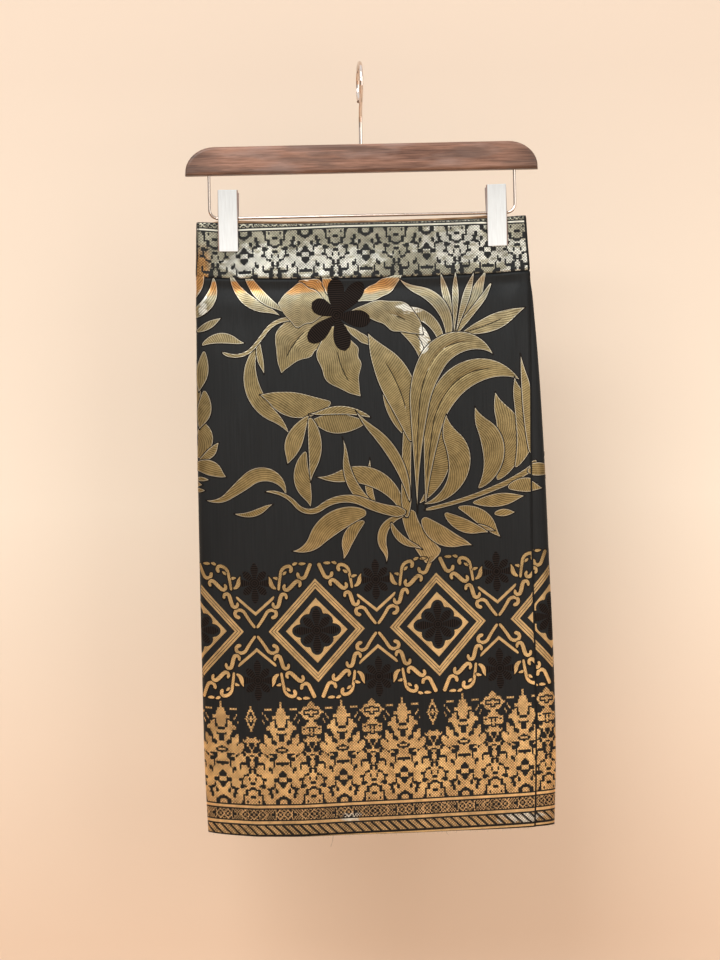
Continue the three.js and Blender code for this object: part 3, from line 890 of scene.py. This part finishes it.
def chart(text):
    return np.array([[mark == "#" for mark in row] for row in text.split()])


def repeated(half):
    """A half repeat of a chart mirrored and repeated along the cloth."""
    column = np.arange(FIRST_COLUMN, LAST_COLUMN) % (2 * TREE_HALF)
    return half[:, np.where(column < TREE_HALF, column, 2 * TREE_HALF - 1 - column)]


def plain(rows, gold):
    return np.full((rows, LAST_COLUMN - FIRST_COLUMN), gold)


def slanted(rows):
    """Gold bars seven cells apart that lean a cell to the right with each row down."""
    row, column = np.indices((rows, LAST_COLUMN - FIRST_COLUMN))
    return (column - row) % 7 > 1


def lozenges(trees):
    """The head of every third pillar is a plain nested lozenge on black instead."""
    row, column = np.indices(trees.shape)
    pillar = (column + FIRST_COLUMN - TREE_HALF + 0.5) / (2 * TREE_HALF)
    nearest = np.round(pillar)
    across = np.abs(pillar - nearest) * 2 * TREE_HALF
    size = across / LOZENGE_HALF_CELLS + np.abs(row - LOZENGE_ROW) / LOZENGE_HALF_ROWS
    swapped = (nearest % 3 == 1) & (across < SWAP_CELLS) & (row < SWAP_ROWS)
    figure = (size < 1) & ~((size > 0.36) & (size < 0.62))
    return np.where(swapped, figure, trees)


def woven(name, bands, materials, start, cell, top, sense, place, surface, wall):
    """Raised cells of a weave. bands are (cells, height of a row) from the top down. Every
    gold cell has a top face, and a skirt goes down into the cloth wherever gold ends. Each
    corner moves a little towards the gold about it, so that black lines show full. Rows
    of gold alone take the second material."""
    gold = np.concatenate([cells for cells, _ in bands])
    drops = np.concatenate([np.full(len(cells), height) for cells, height in bands])
    down = np.concatenate([[0], np.cumsum(drops)])
    rows, columns = gold.shape
    p = start + cell * np.arange(FIRST_COLUMN, LAST_COLUMN + 1)
    grid_p, grid_down = np.meshgrid(p, down)
    signs = np.pad(np.where(gold, 1.0, -1.0), 1, mode="edge")
    above, below = signs[:-1], signs[1:]
    inward_p = above[:, 1:] + below[:, 1:] - above[:, :-1] - below[:, :-1]
    inward_down = below[:, 1:] + below[:, :-1] - above[:, 1:] - above[:, :-1]
    grid_p = grid_p + inward_p * cell * GOLD_INSET / 4
    grid_down = grid_down + inward_down * cell * GOLD_INSET / 4
    places, depth, cut = place(grid_p, top + sense * grid_down)
    high = surface(places, depth, wall / 2 + WEAVE_RELIEF)
    low = surface(places, depth, wall / 2 + SUNK)
    ids = np.arange((rows + 1) * (columns + 1)).reshape(rows + 1, columns + 1)
    corners = np.stack([ids[:-1, :-1], ids[1:, :-1], ids[1:, 1:], ids[:-1, 1:]], axis=-1)
    whole = ~cut.ravel()[corners].all(axis=-1)
    line_rows = gold.all(axis=1)
    gold = gold & whole
    faces = [corners[gold]]
    framed = np.pad(gold, 1)
    for side, (dr, dc) in enumerate(((0, -1), (1, 0), (0, 1), (-1, 0))):
        open_side = gold & ~framed[1 + dr : rows + 1 + dr, 1 + dc : columns + 1 + dc]
        a, b = corners[open_side][:, side], corners[open_side][:, (side + 1) % 4]
        faces.append(np.stack([b, a, a + ids.size, b + ids.size], axis=1))
    faces = np.concatenate(faces)
    points = np.concatenate([high.reshape(-1, 3), low.reshape(-1, 3)])
    uv = np.stack([grid_p.ravel(), -grid_down.ravel()], axis=1)
    used, index = np.unique(faces, return_inverse=True)
    piece = new_mesh(name, points[used], index.reshape(faces.shape),
                     np.concatenate([uv, uv])[used] * 0.001, smooth_shading=False)
    for material in materials:
        piece.data.materials.append(material)
    slots = np.zeros(len(faces), dtype=np.int32)
    slots[: gold.sum()] = line_rows[np.nonzero(gold)[0]]
    piece.data.polygons.foreach_set("material_index", slots)
    return piece


# ---- Finishes ------------------------------------------------------------------------

MIX_FACTOR, MIX_ONE, MIX_OTHER, MIX_RESULT = 0, 6, 7, 2  # a Mix node's sockets for colours


class Nodes:
    """The node tree of a material or world, and short ways to wire it."""

    def __init__(self, owner):
        owner.use_nodes = True
        self.tree = owner.node_tree

    def add(self, kind, *links, **settings):
        """A node; links are (input, output socket or value) pairs."""
        node = self.tree.nodes.new("ShaderNode" + kind)
        for key, value in settings.items():
            setattr(node, key, value)
        for slot, source in links:
            if isinstance(source, bpy.types.NodeSocket):
                self.tree.links.new(source, node.inputs[slot])
            else:
                node.inputs[slot].default_value = source
        return node

    def math(self, operation, *values):
        return self.add("Math", *enumerate(values), operation=operation).outputs[0]

    def times(self, *values):
        return functools.reduce(lambda a, b: self.math("MULTIPLY", a, b), values)

    def plus(self, a, b):
        return self.math("ADD", a, b)

    def minus(self, a, b):
        return self.math("SUBTRACT", a, b)

    def ramp(self, factor, *stops):
        """A colour from (place, colour) stops along the factor."""
        node = self.add("ValToRGB", ("Fac", factor))
        marks = node.color_ramp.elements
        while len(marks) < len(stops):
            marks.new(0.5)
        for mark, (place, color) in zip(marks, stops):
            mark.position = place
            mark.color = (*color, 1)
        return node.outputs["Color"]

    def place(self):
        return self.add("TexCoord").outputs["Object"]

    def thread(self):
        """The cloth's or a motif's own coordinates, across and along its threads."""
        return self.split(self.add("UVMap", uv_map="Thread").outputs["UV"])

    def field(self, name):
        return self.add("Attribute", attribute_name=name).outputs["Fac"]

    def split(self, vector):
        return self.add("SeparateXYZ", ("Vector", vector)).outputs

    def noise(self, vector, scale, detail=2.0, rough=0.5):
        """Noise at one scale, or stretched by a scale for each axis."""
        if isinstance(scale, tuple):
            vector = self.add("Mapping", ("Vector", vector), ("Scale", scale)).outputs["Vector"]
            scale = 1
        return self.add("TexNoise", ("Vector", vector), ("Scale", scale), ("Detail", detail),
                        ("Roughness", rough)).outputs["Fac"]

    def between(self, value, low, high, to_low=0.0, to_high=1.0):
        """to_low where the value is low, to_high where it is high, and even in between."""
        return self.add("MapRange", ("Value", value), ("From Min", low), ("From Max", high),
                        ("To Min", to_low), ("To Max", to_high)).outputs["Result"]

    def wave(self, value, pitch):
        """0 to 1 and back over each pitch."""
        turned = self.math("SINE", self.times(value, 2 * math.pi / pitch))
        return self.math("MULTIPLY_ADD", turned, 0.5, 0.5)

    def mix(self, factor, one, other):
        """From one colour to the other as the factor goes from 0 to 1."""
        one, other = ((*c, 1) if isinstance(c, tuple) else c for c in (one, other))
        node = self.add("Mix", (MIX_FACTOR, factor), (MIX_ONE, one), (MIX_OTHER, other),
                        data_type="RGBA")
        return node.outputs[MIX_RESULT]

    def shade(self, color, factor):
        """A colour multiplied by a value."""
        return self.add("VectorMath", (0, color), ("Scale", factor), operation="SCALE").outputs[0]

    def bump(self, height, distance, strength):
        node = self.add("Bump", ("Height", height), ("Distance", distance), ("Strength", strength))
        return node.outputs["Normal"]


class Finish(Nodes):
    """A material with its one shader."""

    def __init__(self, name):
        self.material = bpy.data.materials.new(name)
        super().__init__(self.material)
        self.shader = self.tree.nodes["Principled BSDF"]

    def set(self, **inputs):
        """Values or output sockets for the shader's inputs, with _ for a space in a name."""
        for key, value in inputs.items():
            socket = self.shader.inputs[key.replace("_", " ")]
            if isinstance(value, bpy.types.NodeSocket):
                self.tree.links.new(value, socket)
            else:
                socket.default_value = (*value, 1) if isinstance(value, tuple) else value
        return self.material


# Gold thread by height, with its reflection painted in: warm towards the hem, olive on
# the body, silvery at the waist.
GOLD_FOOT, GOLD_HEAD = -0.785, -0.16
GOLD_AND_REFLECTION_BY_HEIGHT = (
    (0.00, (0.60, 0.40, 0.19)), (0.05, (0.66, 0.42, 0.20)), (0.08, (1.00, 0.63, 0.28)),
    (0.20, (0.94, 0.60, 0.27)), (0.28, (0.60, 0.40, 0.185)),
    (0.38, (0.52, 0.35, 0.165)), (0.50, (0.24, 0.165, 0.066)), (0.75, (0.24, 0.185, 0.086)),
    (0.88, (0.29, 0.245, 0.145)), (0.91, (0.36, 0.345, 0.26)), (1.00, (0.42, 0.41, 0.32)),
)
# the orange and the silver here are colours of painted reflection
DARK_EDGE, ORANGE_REFLECTION, SILVER_REFLECTION = (0.012, 0.010, 0.009), (0.50, 0.27, 0.10), (0.28, 0.26, 0.18)
# painted highlights for the glints and the motifs' rims, and a painted reflection that whitens the
# plain lines at the waist
GLINT, RIM_HIGHLIGHT, PALE_REFLECTION = (0.80, 0.81, 0.74), (0.85, 0.84, 0.74), (0.66, 0.66, 0.58)
GLINTS = (  # x, z, half-width and half-height of the front's painted silver glints, in metres
    (0.050, -0.250, 0.015, 0.005), (-0.165, -0.240, 0.005, 0.015), (0.060, -0.280, 0.005, 0.015),
    (-0.050, -0.200, 0.060, 0.015), (0.105, -0.185, 0.040, 0.020), (-0.110, -0.200, 0.030, 0.015),
    (0.150, -0.770, 0.020, 0.005), (-0.025, -0.765, 0.010, 0.005), (0.155, -0.200, 0.020, 0.015),
)


def lit_gold(nodes, color, at):
    """Gold as it catches the light, with light painted in. Where the cloth rolls under the
    waistband a painted reflection turns it orange and then silver in patches. The
    waistband's left corner has a painted orange reflection. On the front there are ragged
    painted silver glints, and brighter, warmer clouds of painted sheen lie all over."""
    x, y, z = nodes.split(at)
    # painted reflection of the roll under the waistband: orange just below it, then silver in
    # patches
    patch = nodes.noise(at, (38, 38, 60))
    level = nodes.plus(z, nodes.times(nodes.minus(patch, 0.5), 0.016))
    below_band = nodes.between(z, -0.2185, -0.2195)
    silver = nodes.times(
        nodes.between(level, -0.256, -0.240), nodes.between(patch, 0.42, 0.56), below_band
    )
    orange = nodes.times(
        nodes.between(level, -0.234, -0.2295), below_band, nodes.between(x, 0.045, 0.020, 0.15, 1)
    )
    # painted reflection: orange on the waistband's left corner
    corner = nodes.times(
        nodes.between(x, -0.154, -0.161), nodes.between(z, -0.220, -0.219),
        nodes.between(z, -0.178, -0.196),
    )
    # painted highlights: ragged silver glints round the places in GLINTS
    ragged = nodes.times(nodes.minus(0.46, nodes.noise(at, (90, 90, 200), 4)), 6.0)
    glints = 0.0
    for at_x, at_z, half_width, half_height in GLINTS:
        across = nodes.times(nodes.minus(x, at_x), 1 / half_width)
        up = nodes.times(nodes.minus(z, at_z), 1 / half_height)
        off = nodes.plus(nodes.times(across, across), nodes.times(up, up))
        off = nodes.plus(off, ragged)
        glints = nodes.math("MAXIMUM", nodes.between(off, 1.1, 0.4), glints)
    on_front = nodes.between(y, 0.002, -0.002)
    color = nodes.mix(silver, color, SILVER_REFLECTION)
    color = nodes.mix(orange, color, ORANGE_REFLECTION)
    color = nodes.mix(nodes.times(glints, on_front, 0.75), color, GLINT)
    color = nodes.mix(corner, color, ORANGE_REFLECTION)
    # painted sheen: brighter, warmer clouds over all the gold
    warm = nodes.between(nodes.noise(at, 16), 0.45, 0.7, 0.0, 0.4)
    return nodes.mix(warm, color, nodes.shade(color, 1.5))


def gold(name, pitch, ribs, twill=False, lit_rim=False, pale=0.0):
    """Gold thread in fine ribs or in a crossed twill of that pitch, and ribs deep. A ribbed
    motif's rim and veins are dark, and inside the rim there may be a painted highlight.
    pale is how far a painted reflection turns it white at the waist."""
    nodes = Finish(name)
    at = nodes.place()
    height = nodes.between(nodes.split(at)[2], GOLD_FOOT, GOLD_HEAD)
    # painted reflection: the gold's colour by height, and lit_gold paints more light over it
    color = lit_gold(nodes, nodes.ramp(height, *GOLD_AND_REFLECTION_BY_HEIGHT), at)
    across, along, _ = nodes.thread()
    if twill:
        rib = nodes.times(nodes.wave(nodes.plus(across, along), pitch),
                          nodes.wave(nodes.minus(across, along), pitch))
    else:
        rib = nodes.wave(across, pitch)
    mottle = nodes.between(nodes.noise(at, 110, 5, 0.65), 0.3, 0.7, -0.24, 0.24)
    tone = nodes.plus(nodes.between(rib, 0, 1, 1 - ribs, 1 + ribs * 0.4), mottle)
    shaded = nodes.shade(color, tone)
    # painted reflection: the plain gold lines turn white towards the waist
    if pale:
        shaded = nodes.mix(nodes.between(height, 0.5, 0.9, 0.0, pale), shaded, PALE_REFLECTION)
    if not twill:
        rim = nodes.field("Rim")
        # painted highlight: a bright line just inside a motif's rim, stronger towards the waist
        if lit_rim:
            bright = nodes.mix(nodes.between(height, 0.1, 0.9, 0.15, 0.45), color, RIM_HIGHLIGHT)
            shaded = nodes.mix(nodes.between(rim, 0.75, 1.0), bright, shaded)
        shaded = nodes.mix(nodes.between(rim, 0.3, 0.45), DARK_EDGE, shaded)
        shaded = nodes.mix(nodes.between(nodes.field("Vein"), 0.35, 0.5), shaded, DARK_EDGE)
    return nodes.set(Base_Color=shaded, Metallic=0.8, Roughness=0.4, Specular_IOR_Level=0.3,
                     Normal=nodes.bump(rib, 0.00012, 0.6))


def satin_black():
    """The ground: black satin with faint streaks down the warp, and a painted sheen that
    leaves it darker and browner at the hem and lighter and bluer at the top.
    """
    nodes = Finish("black satin")
    at = nodes.place()
    streak = nodes.noise(at, (900, 900, 12))
    # painted sheen: darker and browner at the hem, lighter and bluer towards the top
    low = nodes.between(nodes.split(at)[2], -0.78, -0.3)
    color = nodes.ramp(low, (0, (0.008, 0.0075, 0.0072)), (0.4, (0.0075, 0.008, 0.0085)),
                       (1, (0.010, 0.0115, 0.0125)))
    return nodes.set(
        Base_Color=nodes.shade(color, nodes.plus(streak, 0.55)), Specular_IOR_Level=0.18,
        Roughness=nodes.between(nodes.noise(at, 14), 0.3, 0.7, 0.44, 0.56),
        Normal=nodes.bump(streak, 0.0001, 0.4),
    )


def dark_thread():
    """Black thread in ribs, for the petals and rosettes."""
    nodes = Finish("dark thread")
    rib = nodes.wave(nodes.thread()[0], 0.0022)
    color = nodes.ramp(rib, (0, (0.0018, 0.0012, 0.0010)), (1, (0.0190, 0.0130, 0.0105)))
    return nodes.set(Base_Color=color, Roughness=0.6, Specular_IOR_Level=0.07,
                     Normal=nodes.bump(rib, 0.0003, 0.7))


def reverse_weave():
    """The cloth's wrong side: dull tan floats of weft across dark warp."""
    nodes = Finish("wrong side")
    floats = nodes.noise(nodes.place(), (60, 60, 1400))
    color = nodes.ramp(floats, (0.35, (0.20, 0.11, 0.055)), (0.65, (0.62, 0.40, 0.23)))
    return nodes.set(Base_Color=color, Roughness=0.6, Metallic=0.3, Specular_IOR_Level=0.2,
                     Normal=nodes.bump(floats, 0.00012, 0.5))


def loose_fibre(name, dark, light):
    """Dull fibre, uneven in colour."""
    nodes = Finish(name)
    uneven = nodes.noise(nodes.place(), 400)
    return nodes.set(Base_Color=nodes.ramp(uneven, (0.3, dark), (0.7, light)), Roughness=0.8)


def walnut():
    """Oiled wood with its grain along the bar, with a painted grey sheen and smoked dark in
    patches, and painted shade darker towards its ends and lower edge."""
    nodes = Finish("oiled wood")
    at = nodes.place()
    grain = nodes.noise(at, (26, 300, 900), 6, 0.7)
    band = nodes.noise(at, (7, 40, 110), 4, 0.6)
    mixed = nodes.plus(nodes.times(grain, 0.55), nodes.times(band, 0.45))
    color = nodes.ramp(mixed, (0.39, (0.085, 0.036, 0.022)), (0.5, (0.22, 0.110, 0.072)),
                       (0.61, (0.37, 0.205, 0.145)))
    # painted sheen: grey patches stand for the oil's reflection
    grey_sheen = nodes.between(nodes.noise(at, (16, 16, 60), 3), 0.5, 0.66, 0.0, 0.5)
    color = nodes.mix(grey_sheen, color, (0.29, 0.205, 0.18))
    smoked = nodes.between(nodes.noise(at, (12, 16, 100), 5, 0.6), 0.52, 0.64, 0.0, 0.6)
    color = nodes.mix(smoked, color, (0.085, 0.050, 0.038))
    x, _, z = nodes.split(at)
    # painted shade: darker towards the bar's ends and its lower edge
    ends = nodes.between(nodes.math("ABSOLUTE", x), 0.140, 0.181, 1.0, 0.45)
    low = nodes.between(z, -0.112, -0.102, 0.6, 1.0)
    return nodes.set(
        Base_Color=nodes.shade(color, nodes.times(ends, low)), Specular_IOR_Level=0.45,
        Roughness=nodes.between(grain, 0.35, 0.65, 0.34, 0.5),
        Normal=nodes.bump(grain, 0.00025, 0.4),
    )


def wire_metal(name, color, roughness):
    nodes = Finish(name)
    scuff = nodes.noise(nodes.place(), (60, 60, 900))
    uneven = nodes.between(scuff, 0.3, 0.7, roughness * 0.85, roughness * 1.15)
    return nodes.set(Base_Color=color, Metallic=1.0, Roughness=uneven)


def clip_steel():
    """Brushed steel, with painted shade greying it towards the top of a jaw and a painted
    dark-brown reflection along its edges.
    """
    nodes = Finish("satin steel")
    at = nodes.place()
    x, _, z = nodes.split(at)
    brushed = nodes.noise(at, (700, 700, 6))
    # painted shade: greyer towards the top of a jaw
    tone = nodes.times(nodes.between(z, -0.205, -0.125, 1.0, 0.74),
                       nodes.between(brushed, 0.3, 0.7, 0.94, 1.04))
    # painted reflection: a dark-brown line along each edge of a jaw
    from_clip = nodes.minus(nodes.math("ABSOLUTE", x), CLIP_X * 0.001)
    edge = nodes.between(nodes.math("ABSOLUTE", from_clip), 0.0090, 0.0102)
    color = nodes.mix(edge, nodes.shade((0.865, 0.95, 1.0), tone), (0.22, 0.13, 0.10))
    return nodes.set(Base_Color=color, Metallic=0.15, Roughness=0.32)


def wall_paint():
    """Matt paint on the wall, with painted shade over its height. Its back is clear, so that
    the wall never stands in front of the object."""
    nodes = Finish("pale paint")
    at = nodes.place()
    # painted shade: darker and warmer low down, lightest at mid height, a little darker at the top
    shade_by_height = nodes.ramp(nodes.between(nodes.split(at)[2], -0.95, 0.05), (0, (0.75, 0.57, 0.43)),
                      (0.5, (0.86, 0.76, 0.64)), (1, (0.73, 0.63, 0.53)))
    cloud = nodes.between(nodes.noise(at, 2, 1), 0.3, 0.7, 0.985, 1.015)
    nodes.set(Base_Color=nodes.shade(shade_by_height, cloud), Roughness=0.9, Specular_IOR_Level=0.1)
    behind = nodes.add("NewGeometry").outputs["Backfacing"]
    clear = nodes.add("BsdfTransparent").outputs["BSDF"]
    painted = nodes.shader.outputs["BSDF"]
    surface = nodes.add("MixShader", (0, behind), (1, painted), (2, clear)).outputs[0]
    nodes.tree.links.new(surface, nodes.tree.nodes["Material Output"].inputs["Surface"])
    return nodes.material


satin, thread, wrong_side = satin_black(), dark_thread(), reverse_weave()
field_gold = gold("gold of the field", 0.0021, 0.44, lit_rim=True)
scroll_gold = gold("gold of the diamonds", 0.0016, 0.3)
weave_golds = (
    gold("gold of the weave", 0.0029, 0.62, twill=True),
    gold("gold of the lines", 0.0024, 0.12, twill=True, pale=0.8),
)
for piece in (body, waistband):
    piece.data.materials.append(satin)
    piece.data.materials.append(wrong_side)

repeats = [0, -FLORAL, -2 * FLORAL]
diamond_repeats = [DIAMOND_PITCH * n for n in range(2, -6, -1)]
motifs = [
    field.lay("field_flowers", field_gold, repeats),
    dark_field.lay("field_dark_petals", thread, repeats),
    diamonds.lay("diamond_band", scroll_gold, diamond_repeats),
    rosettes.lay("dark_rosettes", thread, diamond_repeats),
]
trees, lace = repeated(chart(TREES)), repeated(chart(LACE))
black, gold_line = plain(1, False), plain(2, True)
motifs.append(woven(
    "woven_border",
    [(lozenges(trees), TREE_ROW), (black, 0.9), (gold_line, 1.55), (black, 1.0), (lace, 1.35),
     (black, 0.8), (gold_line, 1.7), (black, 1.1), (slanted(8), 1.2), (black, 1.6),
     (gold_line, 1.1)],
    weave_golds, TREE_P, TREE_CELL, TREE_TOP, -1, pattern_place, body_place, PANEL_WALL,
))
band_motifs = [woven(
    "waistband_border",
    [(lace[::-1], BAND_LACE_ROW), (black, BAND_BLACK_ROW), (gold_line, BAND_LINE_ROW),
     (black, 0.9), (trees[::-1][:BAND_TREE_ROWS], BAND_ROW), (plain(1, True), 1.2)],
    weave_golds, BAND_TREE_P, BAND_CELL,
    -BAND_LINE_ROW - BAND_BLACK_ROW - len(lace) * BAND_LACE_ROW, 1, band_pattern_place,
    band_place, BAND_WALL,
)]

# ---- Loose threads at the hem --------------------------------------------------------

RIBBON_SPANS = np.array([[0, 2, 3, 1], [2, 4, 5, 3]])  # corners of a strand's two quads


def strands(name, material, p, lengths, lean, width):
    """Thin threads that hang from the hem at p: flat ribbons of two spans whose tips bend
    along x by lean."""
    roots = body_place(p, panel_depth(p, 0.4 + 0 * p), 0 * p)
    share = np.array([0.0, 0.5, 1.0])
    middle = roots[:, None] + share[:, None] * lengths[:, None, None] * np.array([0, 0, -1.0])
    middle[..., 0] += lean[:, None] * share**2 * lengths[:, None]
    side = np.array([width / 2, 0, 0]) * (1 - 0.5 * share)[:, None]
    points = np.stack([middle - side, middle + side], axis=2)
    faces = 6 * np.arange(len(roots))[:, None, None] + RIBBON_SPANS
    piece = new_mesh(name, points.reshape(-1, 3), faces.reshape(-1, 4))
    piece.data.materials.append(material)
    return piece


rng = np.random.default_rng(7)
FRAY_COUNT = 900
fray_p = rng.uniform(UNDER_SHOWN, 161, FRAY_COUNT)
fray = loose_fibre("fray", (0.42, 0.33, 0.24), (0.66, 0.56, 0.44))
motifs.append(strands(
    "hem_fuzz", fray, fray_p, rng.uniform(0.8, 3.2, FRAY_COUNT),
    rng.normal(0, 0.5, FRAY_COUNT), 0.22,
))
dangling = loose_fibre("loose thread", (0.17, 0.11, 0.07), (0.26, 0.19, 0.12))
motifs.append(strands(
    "loose_threads", dangling, np.array([-43.0, 71.0, -255.0]), np.array([12.0, 4.5, 7.0]),
    np.array([-0.25, 0.6, 0.4]), 0.35,
))

# ---- The hanger's finishes -----------------------------------------------------------

finishes = {
    "hanger_bar": walnut(),
    "hanger_hook": wire_metal("polished wire", (0.66, 0.58, 0.53), 0.18),
    "clip_wire": wire_metal("bright wire", (0.56, 0.49, 0.44), 0.20),
}
satin_steel = clip_steel()
for side in ("left", "right"):
    for part in ("front", "back", "spring"):
        finishes[f"clip_{side}_{part}"] = satin_steel
for node, finish in finishes.items():
    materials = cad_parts[node].data.materials
    materials.clear()
    materials.append(finish)

# ---- How the pieces belong together --------------------------------------------------

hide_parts("front_panel", "under_panel", "back_panel")
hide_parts("waistband_front", "waistband_under", "waistband_back")
for piece in [body, waistband, *motifs, *band_motifs]:
    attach(piece, "root")

# ---- Backdrop, light and camera ------------------------------------------------------

# The backdrop sweeps from the floor up into the wall: y and z of its section, in metres.
SWEEP = ((-3.0, -1.35), (0.1, -1.35), (0.22, -1.31), (0.27, -1.2), (0.28, -1.0), (0.28, 1.6))
points = np.array([(x, y, z) for y, z in SWEEP for x in (-2.5, 2.5)]) * 1000
backdrop = new_mesh("backdrop", points, grid_faces(len(SWEEP), 2, flip=True))
backdrop.data.materials.append(wall_paint())
backdrop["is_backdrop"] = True


def softbox(name, place, target, size, power, color):
    """A rectangular light at a place that faces a target."""
    light = bpy.data.lights.new(name, "AREA")
    light.shape, light.size, light.size_y = "RECTANGLE", *size
    light.energy, light.color = power, color
    lamp = bpy.data.objects.new(name, light)
    bpy.context.scene.collection.objects.link(lamp)
    back = (Vector(place) - Vector(target)).to_track_quat("Z", "Y")
    lamp.matrix_world = Matrix.Translation(place) @ back.to_matrix().to_4x4()


softbox("key", (-0.9, -2.3, 1.3), (0, 0, -0.35), (1.6, 1.2), 46, (1.0, 0.98, 0.95))
softbox("fill", (1.4, -2.0, 0.1), (0, 0, -0.45), (1.2, 1.6), 14, (1.0, 0.95, 0.9))

SKY = (  # colours from straight down to straight up
    (0.00, (0.55, 0.27, 0.11)), (0.38, (0.85, 0.46, 0.22)), (0.47, (0.34, 0.28, 0.22)),
    (0.53, (0.34, 0.32, 0.29)), (0.66, (0.95, 0.96, 0.95)), (1.00, (1.25, 1.25, 1.28)),
)
world = bpy.data.worlds.new("studio")
bpy.context.scene.world = world
sky = Nodes(world)
up = sky.split(sky.add("TexCoord").outputs["Generated"])[2]
background = sky.tree.nodes["Background"]
sky.tree.links.new(
    sky.ramp(sky.math("MULTIPLY_ADD", up, 0.5, 0.5), *SKY), background.inputs["Color"]
)
background.inputs["Strength"].default_value = 0.9

CAMERA_PLACE, CAMERA_ROLL = (-0.0082, -2.1, -0.4243), 1.22  # metres and degrees
camera = bpy.data.cameras.new("camera")
camera.lens, camera.sensor_width = 77.0, 36.0
view = bpy.data.objects.new("camera", camera)
bpy.context.scene.collection.objects.link(view)
c, s = math.cos(math.radians(CAMERA_ROLL)), math.sin(math.radians(CAMERA_ROLL))
turn = Matrix(((c, s, 0), (0, 0, -1), (-s, c, 0)))
view.matrix_world = Matrix.Translation(CAMERA_PLACE) @ turn.to_4x4()
bpy.context.scene.camera = view

bpy.context.scene.view_settings.view_transform = "Standard"

boxes = {"cad": CAD_BOX, "dressed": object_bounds()}
json.dumps(boxes, default=lambda value: [float(v) for v in value], indent=1) + "\n"
